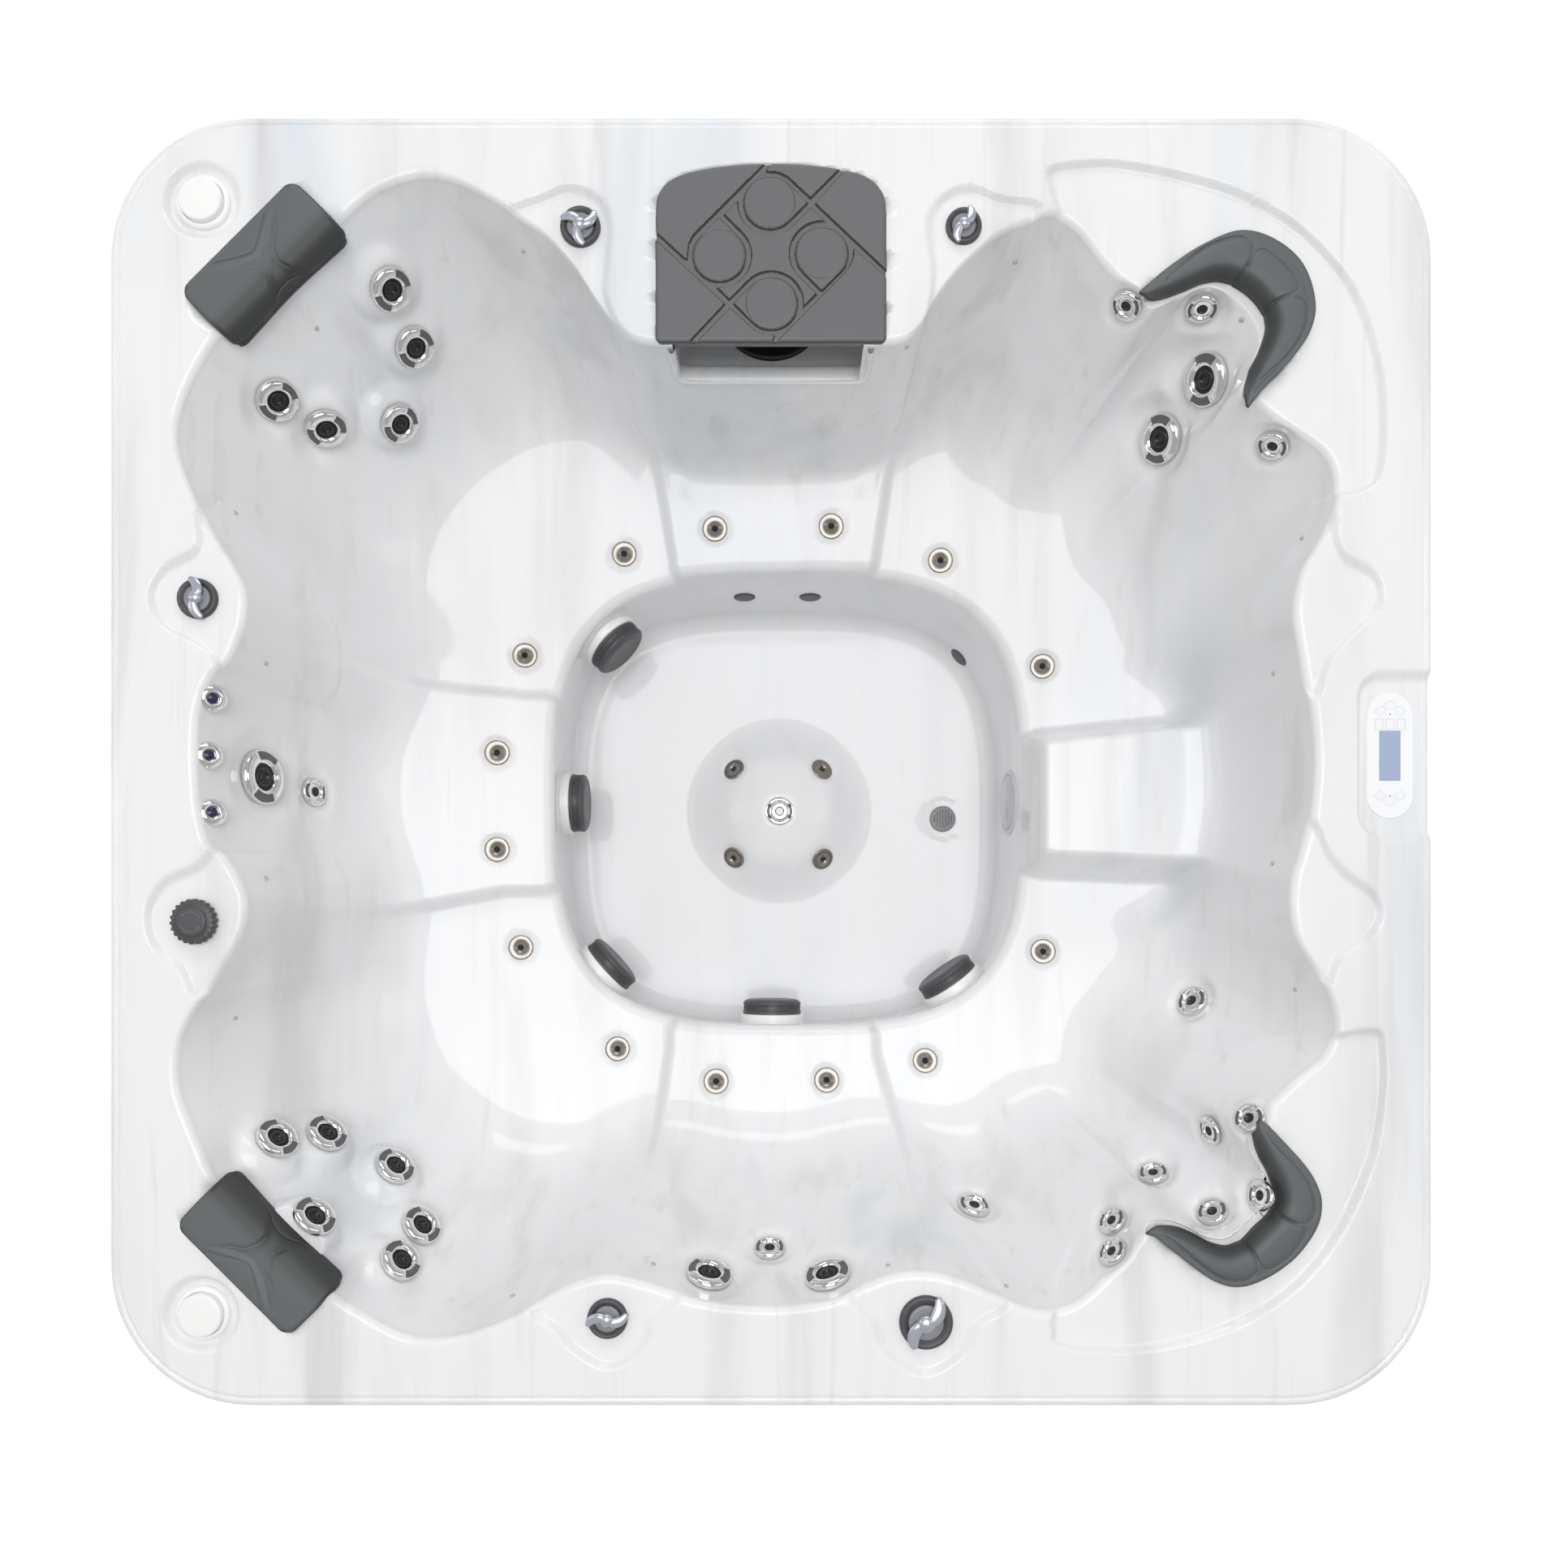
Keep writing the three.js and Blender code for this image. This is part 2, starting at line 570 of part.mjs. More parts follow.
const paint = (color, roughness, metalness = 0) => new THREE.MeshStandardMaterial({ color, roughness, metalness });
const acrylic = paint(0xeceef1, 0.12);
const chrome = paint(0xc9ccd1, 0.12, 1);
const silver = paint(0xb9bec7, 0.25, 0.8);
const charcoal = paint(0x48474a, 0.45);
const slate = paint(0x586062, 0.55);
const lidGrey = paint(0x737578, 0.35);
const white = paint(0xe6e8ea, 0.3);
const panelWhite = paint(0xe9ebee, 0.25);
const lensClear = paint(0xd8dde2, 0.1);
const boardGrey = paint(0x5b5a58, 0.7);
const panBlack = paint(0x2c2d2f, 0.7);
const frameSteel = paint(0x9da1a5, 0.5, 0.7);
const motorBlack = paint(0x303236, 0.5);
const fabricWhite = paint(0xdfe3e6, 0.8);
const steel = paint(0xb4b8bb, 0.35, 0.9);

// Everything that is joined to or cut from the shell is gathered here.
const added = [];
const cut = [];
const trimmed = [];
const jetPlaces = jets.map(([name, share, radius]) => [name, facing(dropped(share, radius)), radius]);
jetPlaces.forEach(([, place, radius]) => {
  cut.push(moved(bore(radius, -jetSink, jetSink * 4, pocketSides), place));
});
const suctionPlaces = suctions.map(([name, degrees]) => [name,
  facing(onWall(degrees, suctionDepthShare, suctionRadius))]);
suctionPlaces.forEach(([, place]) => {
  cut.push(moved(bore(suctionRadius, -fittingSink, suctionProud, pocketSides), place));
});
const lensPlace = facing(onWall(lensDegrees, lensDepthShare, lensRadius));
cut.push(moved(bore(lensRadius, -fittingSink, lensProud * 2, pocketSides), lensPlace));
const drainPlace = at(drainShare, deck - footwellDepth);
cut.push(moved(bore(drainRadius, -drainSink, drainHeight), drainPlace));

knobs.forEach(([, share]) => cut.push(moved(bore(knobStem, -rimThickness * 2, rimThickness, holeSides),
  at(share, deck))));
cut.push(moved(bore(knobStem, -rimThickness * 2, rimThickness, holeSides), at(capShare, deck)));
const speakerPlaces = speakerInsets.map(([x, y], k) => new THREE.Matrix4()
  .makeTranslation(x - half[0], (half[1] - y) * (k ? -1 : 1), deck));
speakerPlaces.forEach((place) => {
  added.push(moved(tube(speakerRecess + speakerWall, -speakerRecessDepth - shellThickness, -shellThickness / 2),
    place));
  cut.push(moved(tube(speakerRecess, -speakerRecessDepth, speakerRecessDepth), place));
  cut.push(moved(bore(canRadius, -rimThickness * 2, 0), place));
});
const panelOutline = (grow) => rounded(panelWidth / 2 + grow, panelLength / 2 + grow, panelWidth / 2 + grow);
const panelPlace = at(panelShare, deck);
const [panelX, panelY] = spot(panelShare);
const panelRecess = (grow) => rounded(panelRecessReach + grow, panelRecessLength / 2 + grow, panelWidth / 2, 4)
  .map(([x, y]) => [half[0] - lipRound + x, panelY + y]);
added.push(prism(panelRecess(shellThickness).map(([x, y]) => [Math.min(x, half[0] - rimReach / 2), y]),
  deck - rimThickness, deck - shellThickness / 2));
cut.push(prism(panelRecess(0), deck - panelRecessDepth, deck + panelRecessDepth));
cut.push(moved(prism(panelOutline(fitGap), -panelRecessDepth - panelHeight, 0), panelPlace));

// A soft body over rows of top points, with straight sides down to its flat base.
function cushion(rows, base) {
  const across = rows[0].length;
  const last = rows.length - 1;
  const points = rows.flat();
  const id = (i, j) => i * across + j;
  const faces = rows.slice(1).flatMap((_, i) => rows[0].slice(1).flatMap((__, j) => [
    [id(i, j), id(i + 1, j), id(i + 1, j + 1)], [id(i, j), id(i + 1, j + 1), id(i, j + 1)]]));
  const border = [
    ...rows.map((_, i) => id(i, 0)), ...rows[0].map((_, j) => id(last, j)).slice(1),
    ...rows.map((_, i) => id(i, across - 1)).reverse().slice(1),
    ...rows[0].map((_, j) => id(0, j)).reverse().slice(1, -1),
  ];
  const low = points.length;
  const outline = border.map((k) => [points[k][0], points[k][1]]);
  outline.forEach(([x, y]) => points.push([x, y, base]));
  border.forEach((k, n) => {
    const m = (n + 1) % border.length;
    faces.push([k, low + n, low + m], [k, low + m, border[m]]);
  });
  const flat = outline.map(([x, y]) => new THREE.Vector2(x, y));
  if (THREE.ShapeUtils.area(flat) < 0) return cushion(rows.slice().reverse(), base);
  THREE.ShapeUtils.triangulateShape(flat, []).forEach(([a, b, c]) => faces.push([low + c, low + b, low + a]));
  return { points, faces, outline };
}

const rollHeight = (roll) => deck + pillowRise - (pillowRise + pillowRoll) * roll;
const edgeFade = (t) => Math.min(1, Math.min(t, 1 - t) / rollShares[1][0]);
const pillowBase = deck + restGap - ledgeDepth;

// A straight pillow: hollowed at its waist, with channels that cross like two bows.
const pads = padEdgeShares.map(([from, to, degrees]) => {
  const [p, q] = [spot(from), spot(to)];
  const a = ((degrees + 90) * turn) / 360;
  const out = padWidth / 2 - padOverhang;
  const cx = (p[0] + q[0]) / 2 + out * Math.sin(a);
  const cy = (p[1] + q[1]) / 2 - out * Math.cos(a);
  const placed = ([u, v]) => [cx + u * Math.cos(a) - v * Math.sin(a), cy + u * Math.sin(a) + v * Math.cos(a)];
  const stations = (v) => {
    const c = padChannelShares[0] + padChannelShares[1] * v * v;
    const near = [-c - channelWidthShare, -c, channelWidthShare - c];
    const side = [...padStations.slice(0, 3), Math.min(padStations[3], near[0] - channelWidthShare), ...near];
    return [...side, ...side.map((u) => -u).reverse()];
  };
  const body = cushion(stations(0).map((_, i) => rollShares.map(([t, roll]) => {
    const v = t * 2 - 1;
    const u = stations(v)[i];
    const dip = (i === 5 || i === stations(0).length - 6 ? channelDepth : 0)
      + waistDepth * Math.max(0, 1 - (u / padChannelShares[1]) ** 2);
    const end = Math.abs(u) === 1 ? pillowRise / 2 : 0;
    return [...placed([(padLength / 2) * u * (1 - padCornerShare * v ** 6),
      (padWidth / 2) * v * (1 - padCornerShare * u ** 6)]),
    Math.max(rollHeight(roll) - (dip + end) * edgeFade(t), pillowBase + restGap)];
  })), pillowBase);
  const pocket = rounded(padLength / 2, padWidth / 2, padWidth / 5, 3).map(placed);
  return { body, pocket };
});

// A curved pillow: three pads in a row, with a channel between each two.
const hornPillow = ([outerShares, innerShares]) => {
  const line = (shares) => new THREE.CatmullRomCurve3(placedSpots(shares).map(([x, y]) => new THREE.Vector3(x, y, 0)));
  const [outer, inner] = [line(outerShares), line(innerShares)];
  const stations = [...hornStationShares.map((s) => [s, 0]), ...hornSeamShares.flatMap((s) => [
    [s - channelWidthShare / 2, 0], [s, channelDepth], [s + channelWidthShare / 2, 0]])].sort((a, b) => a[0] - b[0]);
  const body = cushion(stations.map(([s, dip]) => {
    const [p, q] = [outer.getPoint(s), inner.getPoint(s)];
    const full = Math.min(1, p.distanceTo(q) / (padWidth / 2));
    return rollShares.map(([t, roll]) => [p.x + (q.x - p.x) * t, p.y + (q.y - p.y) * t,
      deck - dip * edgeFade(t) + (rollHeight(roll) - deck) * full]);
  }), pillowBase);
  return { body, pocket: body.outline };
};
const ccw = (outline) => (THREE.ShapeUtils.area(outline.map(([x, y]) => new THREE.Vector2(x, y))) > 0
  ? outline : outline.slice().reverse());
const pillows = [['pillow_nw', pads[0]], ['pillow_sw', pads[1]], ['pillow_ne', hornPillow(hornLineShares)],
  ['pillow_se', hornPillow(hornMirrorLineShares)]];
const noCollinear = (outline) => outline.filter((p, i) => {
  const a = outline[(i + outline.length - 1) % outline.length];
  const b = outline[(i + 1) % outline.length];
  const spread = Math.abs((p[0] - a[0]) * (b[1] - a[1]) - (p[1] - a[1]) * (b[0] - a[0]));
  return spread > (restGap / 4) * Math.hypot(b[0] - a[0], b[1] - a[1]);
});
pillows.forEach(([, { pocket }]) => {
  const outline = noCollinear(ccw(pocket));
  trimmed.push(prism(grown(outline, pocketWall), deck - ledgeDepth - shellThickness, deck - shellThickness / 2));
  cut.push(prism(grown(outline, fitGap), deck - ledgeDepth, deck + ledgeDepth));
});

const lidOutline = placedSpots(lidShares);
const nicheFront = half[1] * lidShares[0][1];
const nicheBack = half[1] * nicheBackShare;
const nicheFloor = deck - nicheDepth;
const filterPlace = at(filterShare, nicheFloor);
trimmed.push(prism(grown(lidOutline, pocketWall + lidGap), deck - lidThickness - shellThickness,
  deck - shellThickness / 2));
trimmed.push(box([-nicheHalfWidth - nicheWall, nicheFront - nicheWall, nicheFloor - nicheWall],
  [nicheHalfWidth + nicheWall, nicheBack + nicheWall, deck - shellThickness / 2]));
cut.push(prism(grown(lidOutline, lidGap), deck - lidThickness - restGap, deck + lidThickness));
cut.push(box([-nicheHalfWidth, nicheFront + nicheWall, nicheFloor], [nicheHalfWidth, nicheBack, deck]));
cut.push(box([-nicheHalfWidth, nicheFront - nicheWall * 5, nicheFloor + nicheLip], [nicheHalfWidth,
  nicheFront + nicheWall * 2, deck]));
cut.push(moved(bore(filterBore, -nicheWall * 2, nicheWall), filterPlace));

const wellPlug = solid(prism(columnAngles.map((a) => [centre[0] + wellRadius(a) * Math.cos(a),
  centre[1] + wellRadius(a) * Math.sin(a)]), deck - nicheDepth * 2, deck + restGap));
let shell = solid(skinBody);
trimmed.forEach((body) => { shell = shell.add(solid(body).subtract(wellPlug)); });
added.forEach((body) => { shell = shell.add(solid(body)); });
cut.forEach((body) => { shell = shell.subtract(solid(body)); });
piece('shell', fromSolid(shell), acrylic);

// Jet faces turn in their pockets.
jetPlaces.forEach(([name, place, radius]) => {
  const base = restGap - jetSink;
  piece(name, fromBody(turned([
    [0, base], [radius, base], [radius, jetProud / 7], [radius * 0.84, jetProud], [radius * 0.56, jetProud * 0.8],
    [radius * 0.34, 0], [0, -jetSink / 2],
  ], pocketSides)), chrome, place);
});

suctionPlaces.forEach(([name, place]) => {
  const base = restGap - fittingSink;
  piece(name, fromBody(turned([
    [0, base], [suctionRadius, base], [suctionRadius, 6], [suctionRadius * 0.86, 10], [suctionRadius * 0.84, suctionProud * 0.7], [suctionRadius * 0.66, suctionProud],
    [0, suctionProud],
  ], pocketSides)), charcoal, place);
});
piece('light_lens', fromBody(turned([
  [0, restGap - fittingSink], [lensRadius, restGap - fittingSink], [lensRadius, lensProud * 0.2], [lensRadius * 0.8, lensProud * 0.8],
  [lensRadius * 0.4, lensProud], [0, lensProud],
], pocketSides)), lensClear, lensPlace);
piece('drain_cover', fromBody(turned([
  [0, restGap - drainSink], [drainRadius, restGap - drainSink], [drainRadius, (drainHeight - drainSink) / 2],
  [drainRadius * 0.88, drainHeight - drainSink], [0, drainHeight - drainSink],
])), lidGrey, drainPlace);

// Knobs: a stem through the deck, a hub disc and a waisted handle.
knobs.forEach(([name, share, radius, degrees]) => {
  const outline = (grow) => Array.from({ length: 20 }, (_, i) => {
    const a = (turn * i) / 20;
    const reach = knobWaistShare + (1 - knobWaistShare) * Math.abs(Math.cos(a)) ** 3;
    const r = radius * reach + grow;
    const bend = a + (radius * reach * 0.5) / radius;
    return [r * Math.cos(bend), r * Math.sin(bend)];
  });
  const body = joined([
    turned([[0, -knobStemLength], [knobStem, -knobStemLength], [knobStem, knobRise], [0, knobRise]], holeSides),
    turned([[0, restGap], [radius * 0.56, restGap], [radius * 0.56, knobRise], [0, knobRise]]),
    stack([[outline(0), knobRise - restGap], [outline(0), knobHandle - 2], [outline(-2), knobHandle]]),
  ]);
  piece(name, fromSolid(body), silver, at(share, deck).multiply(new THREE.Matrix4()
    .makeRotationZ((degrees * turn) / 360)));
});
const capOutline = Array.from({ length: capTeeth * 4 }, (_, i) => {
  const a = (turn * (i + 0.5)) / (capTeeth * 4);
  const r = i % 4 < 2 ? capRadius : capRadius * 0.9;
  return [r * Math.cos(a), r * Math.sin(a)];
});
const capTop = Array.from({ length: capTeeth * 4 }, (_, i) => {
  const a = (turn * (i + 0.5)) / (capTeeth * 4);
  return [capTopRadius * Math.cos(a), capTopRadius * Math.sin(a)];
});
piece('air_valve_cap', fromSolid(joined([
  stack([[capOutline, restGap], [capOutline, capHeight * 0.7], [capTop, capHeight * 0.75], [capTop, capHeight]]),
  turned([[0, -knobStemLength], [knobStem, -knobStemLength], [knobStem, capHeight / 2], [0, capHeight / 2]], holeSides),
])), charcoal, at(capShare, deck));

// Pop-up speakers: each slides up out of its can.
speakerPlaces.forEach((place, k) => {
  const base = restGap - speakerRecessDepth;
  piece(`speaker_can_${k + 1}`, fromBody(turned([
    [0, -canDepth], [canRadius, -canDepth], [canRadius, base], [bezelRadius, base],
    [bezelRadius, base + bezelHeight * 0.8], [bezelRadius - 2, base + bezelHeight], [canBore, base + bezelHeight],
    [canBore, housingWall - canDepth], [0, housingWall - canDepth],
  ])), white, place);
  const bore = canBore - fitGap;
  piece(`speaker_popup_${k + 1}`, fromBody(turned([
    [0, popTop - popLength], [bore, popTop - popLength], [bore, popTop - 2], [bore - 2, popTop], [0, popTop],
  ])), white, place);
});
piece('control_panel', fromBody(stack([
  [panelOutline(0), restGap - panelRecessDepth - panelHeight], [panelOutline(0), -panelRecessDepth],
  [panelOutline(-2), 2 - panelRecessDepth],
])), panelWhite, panelPlace);

pillows.forEach(([name, { body }]) => piece(name, fromBody(body), slate));

// Filter: lid, housing under the niche and cartridge standing in it.
const cups = lidCupShares.map((share) => moved(tube(lidCupRadius, -lidCupDepth, lidCupDepth), at(share, deck)));
let lid = solid(prism(lidOutline, deck - lidThickness, deck));
cups.forEach((cup) => { lid = lid.subtract(solid(cup)); });
piece('filter_lid', fromSolid(lid), lidGrey);
const housingTop = -nicheWall - restGap;
piece('filter_housing', fromBody(turned([
  [0, housingTop - housingLength], [filterBore + housingWall, housingTop - housingLength],
  [filterBore + housingWall, housingTop - housingWall], [filterBore + housingFlange, housingTop - housingWall],
  [filterBore + housingFlange, housingTop], [filterBore, housingTop],
  [filterBore, housingTop - housingLength + housingWall], [0, housingTop - housingLength + housingWall],
])), white, filterPlace);
const cartridgeBase = housingTop - housingLength + housingWall + restGap;
piece('filter_cartridge', fromBody(hoop([
  [cartridgeCore, cartridgeBase], [cartridgeRadius, cartridgeBase], [cartridgeRadius, -cartridgeRing * 2],
  [filterBore - fitGap, -cartridgeRing], [filterBore - fitGap, 0], [filterBore * 0.8, 0],
  [cartridgeRadius * 0.7, -cartridgeRing], [cartridgeCore, -cartridgeRing],
])), fabricWhite, filterPlace);

// Base pan, cabinet boards and corners, and the frame that carries the rim.
const cabinet = half.map((v) => v - cabinetInset);
const panOutline = (inset) => rounded(cabinet[0] - inset, cabinet[1] - inset, cabinetCorner - inset);
const panInner = panRimWidth + restGap;
piece('base_pan', fromBody(loft([
  [[0, 0, 0]], panOutline(restGap).map(([x, y]) => [x, y, 0]), panOutline(restGap).map(([x, y]) => [x, y, panRim]),
  panOutline(panInner).map(([x, y]) => [x, y, panRim]), panOutline(panInner).map(([x, y]) => [x, y, panThickness]),
  [[0, 0, panThickness]],
])), panBlack);
const boardLow = panRim + restGap;
const boardHigh = deck - rimThickness - restGap;
const boardHalf = cabinet.map((v) => v - cabinetCorner - cabinetSeam / 2);
const boardFaces = (n) => [cabinet[n] - boardThickness, cabinet[n]];
[['cabinet_panel_e', 0, 1], ['cabinet_panel_w', 0, -1], ['cabinet_panel_n', 1, 1], ['cabinet_panel_s', 1, -1]]
  .forEach(([name, n, side]) => {
    const [inner, outer] = boardFaces(n).map((v) => v * side);
    const run = boardHalf[1 - n];
    const low = n === 0 ? [Math.min(inner, outer), -run, boardLow] : [-run, Math.min(inner, outer), boardLow];
    const high = n === 0 ? [Math.max(inner, outer), run, boardHigh] : [run, Math.max(inner, outer), boardHigh];
    piece(name, fromBody(box(low, high)), boardGrey);
  });
[['cabinet_corner_ne', 1, 1], ['cabinet_corner_nw', -1, 1], ['cabinet_corner_sw', -1, -1], ['cabinet_corner_se', 1, -1]]
  .forEach(([name, sx, sy]) => {
    const arc = (r) => Array.from({ length: 9 }, (_, i) => [
      sx * (cabinet[0] - cabinetCorner + r * Math.sin((turn / 4) * (i / 8)) + 0),
      sy * (cabinet[1] - cabinetCorner + r * Math.cos((turn / 4) * (i / 8)))]);
    piece(name, fromBody(prism(ccw([...arc(cabinetCorner), ...arc(cabinetCorner - boardThickness).reverse()]),
      boardLow, boardHigh)), boardGrey);
  });

const frameOuter = cabinet.map((v) => v - panInner - restGap);
const frameInner = frameOuter.map((v) => v - frameWidth);
const frameLow = panThickness + restGap;
const frameParts = [];
[0, 1].forEach((n) => [1, -1].forEach((side) => {
  const across = [frameInner[n] * side, frameOuter[n] * side].sort((a, b) => a - b);
  const run = boardHalf[1 - n];
  const bar = (from, to, low, high) => frameParts.push(n === 0
    ? box([across[0], from, low], [across[1], to, high])
    : box([from, across[0], low], [to, across[1], high]));
  bar(-run, run, frameLow, frameLow + railHeight);
  bar(-run, run, boardHigh - railHeight, boardHigh);
  [-1, 0, 1].forEach((s) => {
    const middle = s * (run - postWidth / 2);
    bar(middle - postWidth / 2, middle + postWidth / 2, frameLow, boardHigh);
  });
}));
// Slanted braces close the frame at its corners, the upper ones under the speaker cans.
const braceHigh = deck - canDepth - rimThickness;
[[1, 1], [-1, 1], [-1, -1], [1, -1]].forEach(([sx, sy]) => {
  const a = [sx * (frameOuter[0] - frameWidth / 2), sy * (boardHalf[1] - bracePost / 2)];
  const b = [sx * (boardHalf[0] - bracePost / 2), sy * (frameOuter[1] - frameWidth / 2)];
  const long = Math.hypot(b[0] - a[0], b[1] - a[1]);
  const side = [((b[1] - a[1]) / long) * (bracePost / 3), ((a[0] - b[0]) / long) * (bracePost / 3)];
  const bar = ccw([[a[0] + side[0], a[1] + side[1]], [b[0] + side[0], b[1] + side[1]],
    [b[0] - side[0], b[1] - side[1]], [a[0] - side[0], a[1] - side[1]]]);
  frameParts.push(prism(bar, frameLow + restGap, frameLow + railHeight));
  frameParts.push(prism(bar, braceHigh - railHeight, braceHigh));
});
piece('frame', fromSolid(joined(frameParts)), frameSteel);

// Pumps: a motor on its foot and a wet end with its riser, face to face along Y.
const lying = new THREE.Matrix4().makeRotationX(-turn / 4);
const floorTop = panThickness + restGap;
pumps.forEach(([name, share]) => {
  const place = at(share, 0);
  const motor = shifted(moved(turned([
    [0, 0], [motorRadius * 0.55, 0], [motorRadius, motorLength * 0.12], [motorRadius, motorLength], [0, motorLength],
  ]), lying), 0, restGap, motorAxisHeight + panThickness);
  const motorFoot = box([-footWidth / 2, restGap + motorLength * 0.25, floorTop],
    [footWidth / 2, motorLength * 0.85, motorAxisHeight]);
  piece(`${name}_motor`, fromSolid(joined([motor, motorFoot])), motorBlack, place);
  const wet = shifted(moved(turned([
    [0, -wetLength], [stubRadius, -wetLength], [stubRadius, -wetLength * 0.8], [wetRadius * 0.8, -wetLength * 0.75],
    [wetRadius, -wetLength * 0.6], [wetRadius, -wetLength * 0.15], [motorRadius * 0.8, 0], [0, 0],
  ]), lying), 0, 0, motorAxisHeight + panThickness);
  const riser = shifted(tube(stubRadius, 0, wetRadius + stubRise, 16), 0, -wetLength / 2,
    motorAxisHeight + panThickness);
  const wetFoot = box([-footWidth / 2, -wetLength * 0.55, floorTop], [footWidth / 2, -wetLength * 0.2,
    motorAxisHeight]);
  piece(`${name}_wet_end`, fromSolid(joined([wet, riser, wetFoot])), charcoal, place);
});
const heaterTube = shifted(moved(tube(heaterRadius, -heaterLength / 2, heaterLength / 2), lying), 0, 0,
  heaterAxisHeight + panThickness);
const heaterFeet = [-1, 1].map((side) => box(
  [-heaterFoot, side * heaterLength * 0.3 - heaterFoot / 2, floorTop],
  [heaterFoot, side * heaterLength * 0.3 + heaterFoot / 2, heaterAxisHeight]));
piece('heater', fromSolid(joined([heaterTube, ...heaterFeet])), steel, at(heaterShare, 0));
const [boxX, boxY, boxZ] = boxSize;
piece('control_box', fromBody(box([-boxX / 2, -boxY / 2, floorTop], [boxX / 2, boxY / 2, floorTop + boxZ])),
  motorBlack, at(boxShare, 0));
piece('blower', fromBody(turned([
  [0, floorTop], [blowerRadius, floorTop], [blowerRadius, floorTop + blowerHeight * 0.85],
  [blowerRadius * 0.7, floorTop + blowerHeight], [blowerNeck, floorTop + blowerHeight],
  [blowerNeck, floorTop + blowerHeight + blowerNeckRise], [0, floorTop + blowerHeight + blowerNeckRise],
])), panBlack, at(blowerShare, 0));

export default object;
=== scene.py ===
"""Acrylic hot tub, dressed for a picture from straight above.

Metres, +X to the control panel side, +Y to the filter side, +Z up. Shares are of the half width and
half depth of the tub, and places seen from above are followed from the eye down to the shell.
"""
import json
import math

import bpy
import numpy as np
from mathutils import Matrix, Vector
from mathutils.bvhtree import BVHTree


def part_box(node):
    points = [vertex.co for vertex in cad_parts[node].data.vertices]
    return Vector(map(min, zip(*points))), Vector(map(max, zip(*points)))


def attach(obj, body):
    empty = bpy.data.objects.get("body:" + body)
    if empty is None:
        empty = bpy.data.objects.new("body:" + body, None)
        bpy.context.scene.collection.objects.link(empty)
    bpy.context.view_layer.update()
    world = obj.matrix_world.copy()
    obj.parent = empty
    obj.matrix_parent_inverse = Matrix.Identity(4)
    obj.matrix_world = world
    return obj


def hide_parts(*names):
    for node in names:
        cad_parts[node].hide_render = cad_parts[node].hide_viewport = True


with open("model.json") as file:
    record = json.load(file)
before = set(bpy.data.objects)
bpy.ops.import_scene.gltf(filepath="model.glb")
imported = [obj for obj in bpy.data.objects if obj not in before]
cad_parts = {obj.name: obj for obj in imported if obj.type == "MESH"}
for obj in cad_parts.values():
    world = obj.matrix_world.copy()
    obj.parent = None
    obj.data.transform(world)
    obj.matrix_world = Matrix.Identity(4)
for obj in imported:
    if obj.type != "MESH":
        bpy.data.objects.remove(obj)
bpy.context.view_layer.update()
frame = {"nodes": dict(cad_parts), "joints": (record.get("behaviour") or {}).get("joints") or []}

# Sizes: half width and depth of the tub, height of the deck, radius of the rim's corners, depth of the
# footwell, and the camera's eye in the plane and over the deck.
HALF = np.array([1.1, 1.0725])
DECK = 0.9
LIP_RADIUS = 0.235
FLOOR_DEPTH = 0.78
EYE_OVER = np.array((0.0216, -0.253))
EYE_HEIGHT = 1.8
EYE = Vector((*EYE_OVER, DECK + EYE_HEIGHT))
CENTRE = HALF * (0.0091, -0.0093)
# Roundings of the moulded shell: width and depth of the well's edge, tilt of the seats, width and depth of
# the footwell's crest, the cove round its floor and the dome on it.
EDGE, EDGE_DROP = 0.012, 0.014
SEAT_TILT = 0.014
CREST, CREST_DROP = 0.026, 0.030
COVE_OUT, COVE, COVE_RISE = 0.010, 0.045, 0.040
DOME_RADIUS, DOME_RISE, DOME_CROWN = 0.224, 0.052, 0.036
# The photograph at the height of the deck: metres a pixel, and the pixel straight under the eye.
PIXEL = 0.001348
EYE_PIXEL = (966, 1126)

